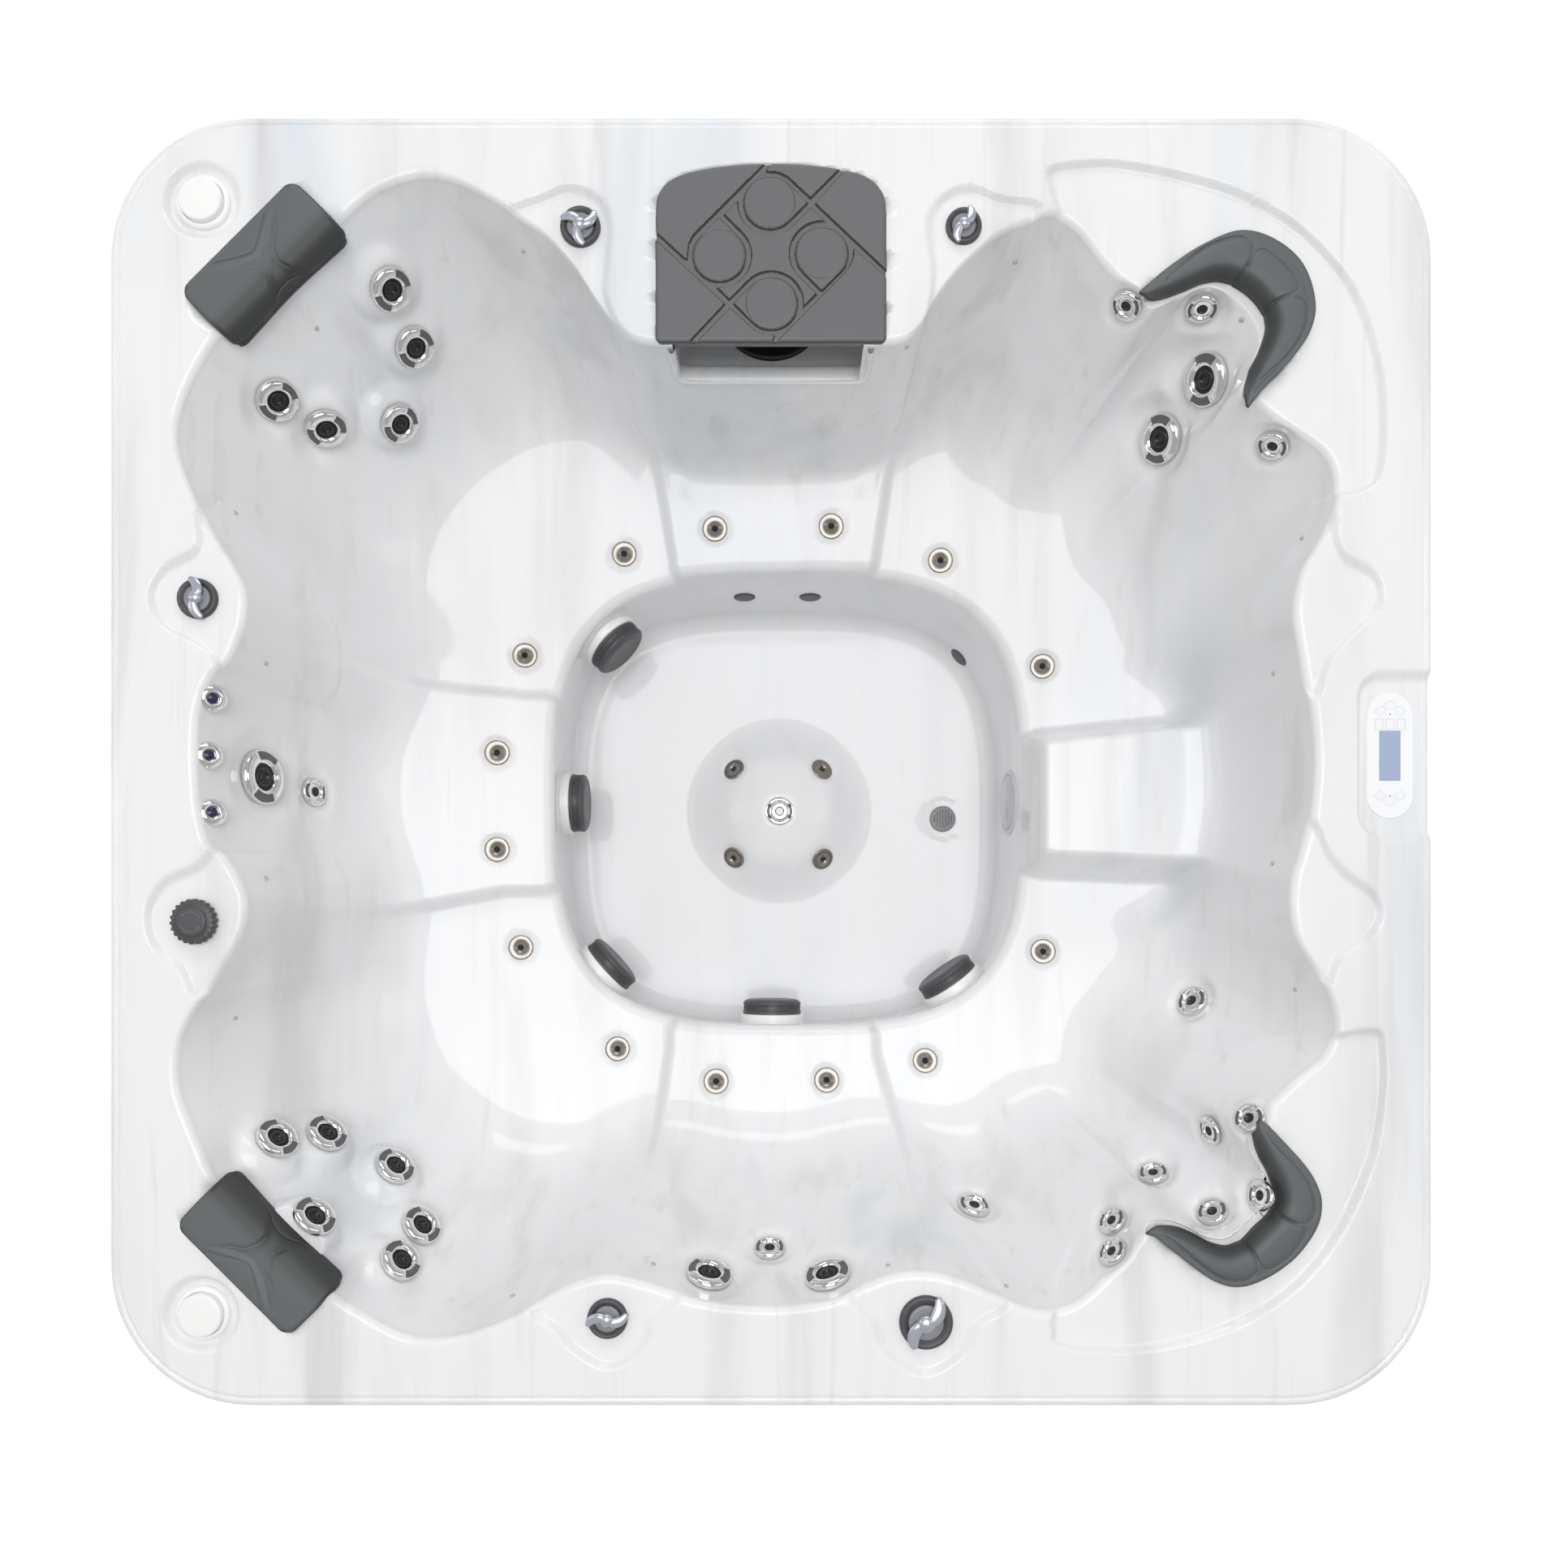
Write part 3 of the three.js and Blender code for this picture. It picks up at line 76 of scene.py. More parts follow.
# Edge of the well, in shares, from +X round to the left.
WELL = [
    (0.828, 0.000), (0.823, 0.073), (0.811, 0.155), (0.801, 0.217), (0.800, 0.253), (0.811, 0.302),
    (0.838, 0.351), (0.855, 0.393), (0.861, 0.444), (0.847, 0.481), (0.816, 0.508), (0.774, 0.536),
    (0.742, 0.563), (0.724, 0.588), (0.744, 0.639), (0.753, 0.678), (0.731, 0.720), (0.691, 0.748),
    (0.656, 0.748), (0.618, 0.733), (0.585, 0.720), (0.556, 0.734), (0.508, 0.781), (0.470, 0.830),
    (0.438, 0.851), (0.392, 0.845), (0.339, 0.820), (0.286, 0.771), (0.247, 0.719), (0.227, 0.678),
    (0.198, 0.655), (0.134, 0.650), (-0.001, 0.650), (-0.135, 0.650), (-0.199, 0.655), (-0.233, 0.676),
    (-0.267, 0.722), (-0.298, 0.771), (-0.341, 0.820), (-0.383, 0.850), (-0.431, 0.879), (-0.485, 0.905),
    (-0.537, 0.910), (-0.590, 0.893), (-0.622, 0.872), (-0.650, 0.846), (-0.748, 0.757), (-0.826, 0.676),
    (-0.848, 0.652), (-0.876, 0.601), (-0.896, 0.552), (-0.903, 0.503), (-0.890, 0.449),
    (-0.867, 0.393), (-0.849, 0.356), (-0.823, 0.312), (-0.805, 0.277), (-0.802, 0.243),
    (-0.809, 0.205), (-0.827, 0.163), (-0.851, 0.133), (-0.868, 0.085), (-0.873, 0.018),
    (-0.869, -0.064), (-0.856, -0.123), (-0.833, -0.147), (-0.813, -0.182), (-0.801, -0.219),
    (-0.807, -0.263), (-0.830, -0.309), (-0.857, -0.360), (-0.881, -0.397), (-0.899, -0.442),
    (-0.900, -0.505), (-0.878, -0.571), (-0.849, -0.640), (-0.830, -0.668), (-0.752, -0.748),
    (-0.672, -0.822), (-0.650, -0.838), (-0.619, -0.858), (-0.580, -0.881), (-0.537, -0.896),
    (-0.479, -0.894), (-0.417, -0.875), (-0.362, -0.847), (-0.307, -0.817), (-0.251, -0.802),
    (-0.197, -0.812), (-0.148, -0.828), (-0.086, -0.843), (-0.001, -0.849), (0.073, -0.842),
    (0.121, -0.827), (0.180, -0.803), (0.232, -0.797), (0.286, -0.808), (0.343, -0.832),
    (0.398, -0.851), (0.449, -0.852), (0.490, -0.826), (0.529, -0.782), (0.563, -0.742),
    (0.575, -0.723), (0.615, -0.718), (0.657, -0.737), (0.688, -0.744), (0.718, -0.727),
    (0.748, -0.681), (0.746, -0.644), (0.726, -0.576), (0.749, -0.548), (0.800, -0.497),
    (0.843, -0.460), (0.858, -0.420), (0.854, -0.380), (0.833, -0.329), (0.805, -0.279),
    (0.795, -0.233), (0.797, -0.184), (0.811, -0.135), (0.823, -0.072),
]
# Seat depth, backrest lean and the fillet at its foot round the tub, by degrees from +X.
SEATS = [(80, 0.610), (98, 0.620), (262, 0.620), (280, 0.610)]
LEAN = [
    (11, 0.024), (31, 0.230), (53, 0.230), (78, 0.046), (104, 0.046), (127, 0.250), (150, 0.250),
    (170, 0.150), (192, 0.150), (210, 0.250), (236, 0.250), (258, 0.200), (282, 0.200), (302, 0.230),
    (331, 0.230), (349, 0.024),
]
FILLET = [
    (10, 0.030), (24, 0.085), (60, 0.085), (74, 0.016), (106, 0.016), (122, 0.090), (154, 0.090),
    (168, 0.060), (194, 0.060), (208, 0.090), (238, 0.090), (256, 0.080), (284, 0.080), (300, 0.085),
    (336, 0.085), (350, 0.030),
]
# Raised middles of the four sides, outward from the footwell: (outline, how far raised, width of its slope).
SIDE_PADS = [
    ([(0.505, 0.098), (0.560, 0.112), (0.829, 0.136), (0.862, 0.162), (0.905, 0.215), (1.02, 0.25),
      (1.02, -0.29), (0.905, -0.255), (0.862, -0.205), (0.833, -0.166), (0.562, -0.155),
      (0.507, -0.140)], 0.144, 0.056),
    ([(0.212, 0.40), (0.214, 0.493), (0.240, 0.670), (0.262, 0.80), (-0.262, 0.80), (-0.241, 0.670),
      (-0.212, 0.493), (-0.210, 0.40)], 0.035, 0.026),
    ([(-0.40, 0.206), (-0.520, 0.206), (-0.64, 0.216), (-0.886, 0.236), (-1.02, 0.25), (-1.02, -0.275),
      (-0.857, -0.262), (-0.710, -0.234), (-0.564, -0.206), (-0.40, -0.204)], 0.031, 0.030),
    ([(-0.216, -0.45), (-0.219, -0.540), (-0.241, -0.700), (-0.262, -0.86), (0.280, -0.86), (0.259, -0.702),
      (0.215, -0.546), (0.212, -0.45)], 0.031, 0.028),
]
# Lower pads of the deck: islands round the knobs, and shelves round the curved pillows.
ISLANDS = [
    [(-0.865, 0.391), (-0.867, 0.334), (-0.915, 0.302), (-0.936, 0.269), (-0.936, 0.241), (-0.915, 0.209),
     (-0.872, 0.187), (-0.846, 0.166), (-0.828, 0.141), (-0.780, 0.186), (-0.770, 0.255), (-0.790, 0.324)],
    [(-0.835, -0.135), (-0.867, -0.162), (-0.915, -0.184), (-0.938, -0.216), (-0.944, -0.249),
     (-0.931, -0.287), (-0.894, -0.319), (-0.867, -0.362), (-0.800, -0.330), (-0.770, -0.254),
     (-0.780, -0.190)],
    [(-0.362, -0.847), (-0.325, -0.879), (-0.298, -0.911), (-0.246, -0.939), (-0.198, -0.911),
     (-0.177, -0.867), (-0.140, -0.828), (-0.190, -0.780), (-0.251, -0.770), (-0.315, -0.785)],
    [(0.121, -0.827), (0.153, -0.867), (0.175, -0.916), (0.232, -0.949), (0.291, -0.916), (0.312, -0.874),
     (0.357, -0.837), (0.300, -0.775), (0.232, -0.765), (0.165, -0.775)],
    [(-0.395, 0.850), (-0.378, 0.865), (-0.346, 0.876), (-0.314, 0.890), (-0.278, 0.885), (-0.251, 0.862),
     (-0.243, 0.825), (-0.248, 0.771), (-0.251, 0.727), (-0.235, 0.683), (-0.214, 0.655), (-0.230, 0.630),
     (-0.290, 0.680), (-0.345, 0.780)],
    [(0.214, 0.656), (0.232, 0.683), (0.243, 0.722), (0.246, 0.771), (0.238, 0.825), (0.248, 0.862),
     (0.275, 0.885), (0.307, 0.890), (0.350, 0.874), (0.407, 0.860), (0.350, 0.780), (0.290, 0.690),
     (0.240, 0.640)],
    [(0.850, 0.383), (0.854, 0.351), (0.869, 0.318), (0.906, 0.297), (0.922, 0.269), (0.917, 0.236),
     (0.879, 0.199), (0.843, 0.155), (0.823, 0.101), (0.784, 0.173), (0.778, 0.261), (0.808, 0.349)],
    [(0.818, -0.091), (0.843, -0.140), (0.869, -0.172), (0.911, -0.205), (0.922, -0.238), (0.901, -0.277),
     (0.858, -0.309), (0.840, -0.344), (0.796, -0.292), (0.778, -0.216), (0.790, -0.141)],
]
SHELVES = [
    [(0.438, 0.850), (0.420, 0.909), (0.433, 0.923), (0.492, 0.930), (0.545, 0.926), (0.624, 0.910),
     (0.704, 0.885), (0.784, 0.841), (0.847, 0.781), (0.890, 0.715), (0.917, 0.629), (0.927, 0.552),
     (0.925, 0.475), (0.911, 0.432), (0.855, 0.420), (0.770, 0.475), (0.640, 0.600), (0.520, 0.690),
     (0.450, 0.780)],
    [(0.858, -0.426), (0.917, -0.419), (0.925, -0.442), (0.927, -0.497), (0.917, -0.585), (0.895, -0.655),
     (0.858, -0.732), (0.811, -0.797), (0.752, -0.846), (0.678, -0.884), (0.597, -0.906), (0.518, -0.914),
     (0.438, -0.906), (0.428, -0.882), (0.433, -0.850), (0.490, -0.770), (0.551, -0.680), (0.680, -0.560),
     (0.780, -0.460)],
]
# Fixed jets as seen from above: (place, face radius in metres, kind).
CORNER_JETS = [
    ((0.536, 0.705), 0.0265), ((0.651, 0.700), 0.0265), ((0.757, 0.488), 0.0265), ((0.635, -0.370), 0.030),
    ((0.307, -0.686), 0.030), ((0.577, -0.636), 0.026), ((0.661, -0.572), 0.026), ((0.721, -0.552), 0.026),
    ((0.666, -0.696), 0.026), ((0.738, -0.672), 0.026), ((0.514, -0.710), 0.026), ((0.514, -0.758), 0.026),
    ((-0.688, -0.047), 0.0275), ((-0.002, -0.752), 0.0275),
]
NECK_JETS = [(-0.844, 0.098), (-0.850, 0.009), (-0.845, -0.080)]
AIR_JETS = [
    (-0.222, 0.322), (-0.085, 0.361), (0.091, 0.365), (0.256, 0.312), (-0.372, 0.165), (0.410, 0.148),
    (-0.414, 0.014), (-0.414, -0.136), (-0.378, -0.288), (0.411, -0.294), (-0.232, -0.445),
    (-0.083, -0.495), (0.084, -0.493), (0.233, -0.463), (-0.057, -0.011), (0.078, -0.011),
    (-0.057, -0.150), (0.079, -0.152),
]
DOME_JET = (0.013, -0.077)
OUTLETS = [(-0.040, 0.255), (0.059, 0.255), (0.284, 0.162)]
POINTS = [
    (-0.686, 0.671), (-0.374, 0.791), (-0.809, 0.385), (-0.763, 0.152), (-0.763, -0.181), (-0.809, -0.397),
    (-0.752, -0.631), (-0.617, -0.767), (-0.390, -0.828), (-0.178, -0.779), (0.177, -0.781),
    (0.355, -0.813), (0.792, -0.353), (0.758, -0.158), (0.759, 0.136), (0.803, 0.346), (0.711, 0.684),
    (0.369, 0.774), (0.205, 0.642),
]
PANEL = HALF * (0.939, 0.010)
SPEAKERS = [HALF * (-0.861, 0.870), HALF * (-0.861, -0.857)]
# Filter lid and the niche under it: half widths, front and back edges, and depths under the deck.
LID_HALF, LID_FRONT = 0.1926, 0.697
LID_BOTTOM, LID_SEAT = 0.0138, 0.0144
NICHE_HALF, NICHE_BACK, NICHE_DEPTH = 0.163, 0.950, 0.130
SPEAKER_RECESS = 0.0115


# Scene and node helpers
def in_scene(name, data):
    obj = bpy.data.objects.new(name, data)
    bpy.context.scene.collection.objects.link(obj)
    return obj


def new_tree(name, kind, inputs, outputs):
    """A node group with inputs as (name, kind, value) and outputs as (name, kind)."""
    tree = bpy.data.node_groups.new(name, kind)
    for key, socket_type, value in inputs:
        socket = tree.interface.new_socket(key, in_out="INPUT", socket_type=socket_type)
        if value is not None:
            socket.default_value = value
    for key, socket_type in outputs:
        tree.interface.new_socket(key, in_out="OUTPUT", socket_type=socket_type)
    return tree, tree.nodes.new("NodeGroupInput"), tree.nodes.new("NodeGroupOutput")


def plug(tree, socket, value):
    """Links another node's output to a socket, or sets its value."""
    if isinstance(value, bpy.types.NodeSocket):
        tree.links.new(value, socket)
    else:
        socket.default_value = value


def add_node(tree, kind, settings=None, **inputs):
    """A new node, with its settings and its inputs, by name with _ for a space."""
    made = tree.nodes.new(kind)
    for key, value in (settings or {}).items():
        setattr(made, key, value)
    for key, value in inputs.items():
        plug(tree, made.inputs[key.replace("_", " ")], value)
    return made


def maths(tree, operation, first, second):
    made = add_node(tree, "ShaderNodeMath", {"operation": operation})
    plug(tree, made.inputs[0], first)
    plug(tree, made.inputs[1], second)
    return made.outputs[0]


def mixed(tree, share, first, second):
    """Two colours mixed by a share of the second."""
    made = add_node(tree, "ShaderNodeMix", {"data_type": "RGBA"})
    for index, value in ((0, share), (6, first), (7, second)):
        plug(tree, made.inputs[index], value)
    return made.outputs[2]


def soft_range(tree, value, low, high, most):
    """0 up to low, rising smoothly to most at high."""
    made = add_node(tree, "ShaderNodeMapRange", {"interpolation_type": "SMOOTHSTEP"}, Value=value,
                    From_Min=low, From_Max=high, To_Max=most)
    return made.outputs[0]


def shown_to(tree, *rays):
    """1 for the kinds of ray named."""
    path = tree.nodes.new("ShaderNodeLightPath")
    share = path.outputs[rays[0]]
    for ray in rays[1:]:
        share = maths(tree, "MAXIMUM", share, path.outputs[ray])
    return share


def set_surface(tree, output, share, first, second):
    """Two shaders mixed by a share of the second, as the surface."""
    made = tree.nodes.new("ShaderNodeMixShader")
    for socket, value in zip(made.inputs, (share, first.outputs[0], second.outputs[0])):
        tree.links.new(value, socket)
    tree.links.new(made.outputs[0], tree.nodes[output].inputs["Surface"])


# Camera and light
def set_camera():
    data = bpy.data.cameras.new("camera")
    data.sensor_width = 36
    data.lens = 36 * EYE_HEIGHT / 2.604
    data.shift_y = 0.0828
    data.clip_end = 50
    camera = in_scene("camera", data)
    camera.location = EYE
    bpy.context.scene.camera = camera
    bpy.context.scene.view_settings.view_transform = "Standard"


def soft_box(name, place, size, power, look=(0, 0, 0.5)):
    data = bpy.data.lights.new(name, "AREA")
    data.shape = "RECTANGLE"
    data.size, data.size_y = size
    data.energy = power
    box = in_scene(name, data)
    box.location = place
    box.rotation_euler = (Vector(look) - Vector(place)).to_track_quat("-Z", "Y").to_euler()


def set_world():
    """Even pale light all round, and a light grey wall where the camera sees it, also through glass."""
    world = bpy.data.worlds.new("studio")
    bpy.context.scene.world = world
    world.use_nodes = True
    tree = world.node_tree
    light = tree.nodes["Background"]
    light.inputs["Color"].default_value = (1.0, 0.98, 0.95, 1)
    light.inputs["Strength"].default_value = 0.45
    wall = add_node(tree, "ShaderNodeBackground", Strength=1.0)
    set_surface(tree, "World Output", shown_to(tree, "Is Camera Ray", "Is Transmission Ray"), light, wall)


# Materials
def principled(name, color=(0.8, 0.8, 0.8), rough=0.5, metal=0.0, **sockets):
    material = bpy.data.materials.new(name)
    material.use_nodes = True
    shader = material.node_tree.nodes["Principled BSDF"]
    shader.inputs["Base Color"].default_value = (*color, 1)
    shader.inputs["Roughness"].default_value = rough
    shader.inputs["Metallic"].default_value = metal
    for key, value in sockets.items():
        shader.inputs[key.replace("_", " ")].default_value = value
    return material


def srgb(r, g, b):
    return tuple(((v / 255 + 0.055) / 1.055) ** 2.4 if v > 10 else v / 255 / 12.92 for v in (r, g, b))


def grain_group():
    """Fine mottling of a moulded surface: a colour, a roughness and a height."""
    tree, given, out = new_tree(
        "moulded_grain", "ShaderNodeTree",
        [("Color", "NodeSocketColor", (0.5, 0.5, 0.5, 1)), ("Scale", "NodeSocketFloat", 900.0),
         ("Depth", "NodeSocketFloat", 0.05), ("Roughness", "NodeSocketFloat", 0.5)],
        [("Color", "NodeSocketColor"), ("Roughness", "NodeSocketFloat"), ("Height", "NodeSocketFloat")])
    place = tree.nodes.new("ShaderNodeTexCoord")
    noise = add_node(tree, "ShaderNodeTexNoise", Vector=place.outputs["Object"],
                     Scale=given.outputs["Scale"], Detail=4)
    change = maths(tree, "SUBTRACT", noise.outputs["Fac"], 0.5)
    change = maths(tree, "MULTIPLY", change, given.outputs["Depth"])
    lighter = maths(tree, "ADD", change, 1.0)
    tint = add_node(tree, "ShaderNodeVectorMath", {"operation": "SCALE"}, Scale=lighter)
    tree.links.new(given.outputs["Color"], tint.inputs[0])
    tree.links.new(tint.outputs[0], out.inputs["Color"])
    tree.links.new(maths(tree, "ADD", given.outputs["Roughness"], change), out.inputs["Roughness"])
    tree.links.new(noise.outputs["Fac"], out.inputs["Height"])
    return tree


GRAIN = grain_group()


def grained(name, color, rough=0.5, metal=0.0, scale=900.0, depth=0.08, bump=0.0, distance=0.0003):
    material = principled(name, color, rough, metal)
    tree = material.node_tree
    shader = tree.nodes["Principled BSDF"]
    grain = add_node(tree, "ShaderNodeGroup", {"node_tree": GRAIN}, Color=(*color, 1), Scale=scale,
                     Depth=depth, Roughness=rough)
    tree.links.new(grain.outputs["Color"], shader.inputs["Base Color"])
    tree.links.new(grain.outputs["Roughness"], shader.inputs["Roughness"])
    if bump:
        raised = add_node(tree, "ShaderNodeBump", Strength=bump, Distance=distance,
                          Height=grain.outputs["Height"])
        tree.links.new(raised.outputs[0], shader.inputs["Normal"])
    return material


def paint_pillow_shade(material, share):
    """Painted shade: darkens the pillows' colour by their roll attribute, over the rolled inner half and in
    a painted contact shadow along their edges.
    """
    tree = material.node_tree
    color = tree.nodes["Principled BSDF"].inputs["Base Color"]
    roll = add_node(tree, "ShaderNodeAttribute", {"attribute_name": "roll"})
    amount = soft_range(tree, roll.outputs["Fac"], 0.02, 0.85, share)
    tree.links.new(mixed(tree, amount, color.links[0].from_socket, (0.012, 0.012, 0.013, 1)), color)


def marbled_acrylic():
    """White acrylic with faint smoky streaks that run along Y and fade down in the well."""
    material = principled("acrylic", srgb(230, 231, 233), 0.07, IOR=1.36)
    tree = material.node_tree
    place = tree.nodes.new("ShaderNodeTexCoord").outputs["Object"]
    height = add_node(tree, "ShaderNodeSeparateXYZ", Vector=place).outputs["Z"]
    fade = add_node(tree, "ShaderNodeMapRange", Value=height, From_Min=0.15, From_Max=0.80, To_Min=0.25)
    color = (*srgb(232, 233, 235), 1)
    # Stretch of each layer of streaks, its detail, where it starts and is full, its tint and its most.
    layers = [((5.5, 0.55, 3.0), 4.0, 0.46, 0.80, srgb(206, 203, 204), 0.75),
              ((2.1, 0.33, 1.6), 3.0, 0.50, 0.78, srgb(203, 212, 221), 0.60),
              ((17.0, 0.9, 9.0), 5.0, 0.56, 0.84, srgb(200, 193, 194), 0.50)]
    for k, (scale, detail, low, high, tint, most) in enumerate(layers):
        stretched = add_node(tree, "ShaderNodeMapping", Vector=place, Scale=scale,
                             Location=(3.7 * k, 1.3 * k, 0.4))
        noise = add_node(tree, "ShaderNodeTexNoise", Vector=stretched.outputs[0], Scale=1.6, Detail=detail,
                         Distortion=0.5)
        streaks = soft_range(tree, noise.outputs["Fac"], low, high, most)
        color = mixed(tree, maths(tree, "MULTIPLY", streaks, fade.outputs[0]), color, (*tint, 1))
    tree.links.new(color, tree.nodes["Principled BSDF"].inputs["Base Color"])
    return material


ACRYLIC = marbled_acrylic()
CHROME = grained("chrome", (0.80, 0.80, 0.80), 0.06, 1.0, scale=60, depth=0.03)
SATIN = grained("air_jet_satin", srgb(150, 145, 139), 0.30, 0.9, scale=300, depth=0.2)
NOZZLE = grained("nozzle_black", srgb(38, 38, 40), 0.3, scale=500, depth=0.1)
SCALLOP = grained("scallop_grey", srgb(92, 91, 92), 0.35, scale=500, depth=0.1)
BLUE_NOZZLE = grained("nozzle_blue", srgb(34, 38, 70), 0.2, scale=400, depth=0.1)
SLATE = grained("pillow_slate", srgb(91, 96, 98), 0.5, scale=1500, depth=0.12, bump=0.25, distance=0.0004)
# Painted shade on the pillows' inner halves and a painted contact shadow round their edges.
paint_pillow_shade(SLATE, 0.78)
LID_GREY = grained("lid_grey", srgb(98, 99, 102), 0.42, scale=1400, depth=0.1, bump=0.3, distance=0.0003)
# Painted shade for the lid's channel edges, rings and rim.
LID_SHADE_GREY = grained("lid_painted_shade", srgb(46, 46, 48), 0.55, scale=900, depth=0.1)
CHARCOAL = grained("charcoal", srgb(76, 74, 78), 0.42, scale=900, depth=0.1)
DARK_RING = grained("knob_ring", srgb(72, 71, 75), 0.4, scale=700, depth=0.1)
MID_RING = grained("knob_inner_ring", srgb(132, 132, 138), 0.35, scale=700, depth=0.1)
SILVER = grained("silver_handle", srgb(186, 191, 202), 0.2, 0.55, scale=300, depth=0.04)
SATIN_WHITE = grained("satin_white", srgb(240, 240, 240), 0.3, scale=500, depth=0.02)
PANEL_WHITE = grained("panel_white", srgb(238, 240, 243), 0.22, scale=500, depth=0.02)
KEY_LINE = grained("key_line", srgb(206, 209, 214), 0.35, scale=500, depth=0.03)
DISPLAY = grained("display_blue", srgb(160, 174, 204), 0.15, scale=800, depth=0.03)
PIN_LIGHT = grained("pin_light", srgb(180, 181, 183), 0.12, scale=500, depth=0.05)
BOARD = grained("cabinet_board", srgb(92, 90, 88), 0.65, scale=120, depth=0.18, bump=0.3, distance=0.0006)
BOARD_GROOVE = grained("cabinet_groove", srgb(58, 57, 56), 0.75, scale=120, depth=0.1)
PAN_BLACK = grained("base_black", srgb(44, 45, 48), 0.7, scale=200, depth=0.12, bump=0.2, distance=0.0006)
FRAME_STEEL = grained("frame_steel", srgb(150, 153, 158), 0.45, 0.8, scale=90, depth=0.12)
MOTOR = grained("motor_paint", srgb(50, 52, 56), 0.45, scale=300, depth=0.1)
BRUSHED = grained("brushed_steel", srgb(180, 182, 185), 0.3, 1.0, scale=200, depth=0.08)
FABRIC = grained("filter_fabric", srgb(224, 228, 231), 0.8, scale=500, depth=0.08, bump=0.3, distance=0.0006)
CLEAR = principled("clear_lens", (0.96, 0.97, 0.98), 0.03, Transmission_Weight=0.9, IOR=1.35)
LENS_RIM = grained("lens_rim", srgb(206, 206, 212), 0.15, scale=500, depth=0.03)


# Mesh tools
def piece(name, points, faces, materials, which=None, body="tub", smooth=True, normals=None):
    """A mesh object with its materials, which rides on a body."""
    mesh = bpy.data.meshes.new(name)
    mesh.from_pydata([tuple(p) for p in points], [], [tuple(f) for f in faces])
    for material in materials:
        mesh.materials.append(material)
    if which is not None:
        mesh.polygons.foreach_set("material_index", np.asarray(which, np.int32))
    mesh.polygons.foreach_set("use_smooth", [smooth] * len(mesh.polygons))
    mesh.update()
    if normals is not None:
        mesh.normals_split_custom_set_from_vertices([tuple(n) for n in normals])
    obj = in_scene(name, mesh)
    if body:
        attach(obj, body)
    return obj


def band_faces(rows, count, closed=True):
    """Quads between rows of count points each, closed round each row or not."""
    faces = []
    for row in range(0, (rows - 1) * count, count):
        for i in range(count if closed else count - 1):
            j = (i + 1) % count
            faces.append((row + i, row + j, row + count + j, row + count + i))
    return faces


def sheet_faces(rows, count):
    """Quads of an open sheet of rows, facing the other way than a band."""
    return [(k * count + i, (k + 1) * count + i, (k + 1) * count + i + 1, k * count + i + 1)
            for k in range(rows - 1) for i in range(count - 1)]


def lathe(profile, sides=48):
    """Points and faces turned about Z from (radius, height) pairs, and each face's step of the profile.
    A radius of 0 is a pole. Faces look to the right of the profile's run."""
    points, faces, rows, band = [], [], [], []
    for r, z in profile:
        if r <= 0:
            rows.append([len(points)])
            points.append((0, 0, z))
        else:
            rows.append(list(range(len(points), len(points) + sides)))
            points += [(r * math.cos(math.tau * i / sides), r * math.sin(math.tau * i / sides), z)
                       for i in range(sides)]
    for k, (a, b) in enumerate(zip(rows, rows[1:])):
        for i in range(sides):
            j = (i + 1) % sides
            if len(b) == 1:
                faces.append((a[i], a[j], b[0]))
            else:
                faces.append((a[i], a[j], b[j], b[i]))
            band.append(k)
    return np.array(points, float), faces, np.array(band)


def place_on(points, centre, axis, spin=0.0):
    """Points in a local frame whose Z is the axis, moved to the centre."""
    axis = Vector(axis).normalized()
    turn = axis.to_track_quat("Z", "Y").to_matrix() @ Matrix.Rotation(spin, 3, "Z")
    return np.asarray(points) @ np.array(turn).T + np.array(centre)


def merged(parts):
    """One (points, faces, slots) from several, each with its own slot numbers."""
    points, faces, slots, start = [], [], [], 0
    for p, f, s in parts:
        points.append(np.asarray(p, float))
        faces += [tuple(i + start for i in face) for face in f]
        slots.append(np.full(len(f), s) if np.isscalar(s) else np.asarray(s))
        start += len(p)
    return np.concatenate(points), faces, np.concatenate(slots)


def spline_point(a, b, c, d, t):
    """A smooth curve's point between b and c."""
    return 0.5 * (2 * b + (c - a) * t + (2 * a - 5 * b + 4 * c - d) * t ** 2
                  + (3 * b - a - 3 * c + d) * t ** 3)


def closed_spline(points, steps):
    p = np.asarray(points, float)
    corners = np.roll(p, 1, 0), p, np.roll(p, -1, 0), np.roll(p, -2, 0)
    return np.stack([spline_point(*corners, t) for t in np.arange(steps) / steps], 1).reshape(-1, 2)


def open_spline(points, n):
    p = np.asarray(points, float)
    p = np.concatenate([[2 * p[0] - p[1]], p, [2 * p[-1] - p[-2]]])
    s = np.linspace(0, len(points) - 1.0001, n)
    i = s.astype(int)
    return spline_point(p[i], p[i + 1], p[i + 2], p[i + 3], (s - i)[:, None])


def ease(t):
    t = np.clip(t, 0, 1)
    return t * t * (3 - 2 * t)


def distance_to(line, x, y):
    """Distance of places to an open line in the plane."""
    best = np.full(np.shape(x), 1e9)
    for (ax, ay), (bx, by) in zip(line, line[1:]):
        dx, dy = bx - ax, by - ay
        t = np.clip(((x - ax) * dx + (y - ay) * dy) / max(dx * dx + dy * dy, 1e-12), 0, 1)
        best = np.minimum(best, np.hypot(x - ax - t * dx, y - ay - t * dy))
    return best


def dip(distance, deep, width):
    """Depth of a soft groove at a distance from its line."""
    return deep * np.exp(-(distance / width) ** 2)


def edge_drop(distance, drop, reach):
    """How far a face falls away at a distance from its round edge."""
    return drop * (1 - np.sqrt(ease(distance / reach)))


def quarter(count, last=None):
    """Angles of a quarter turn in even steps, without its start, up to the last one."""
    return [math.tau / 4 * k / count for k in range(1, (last or count) + 1)]


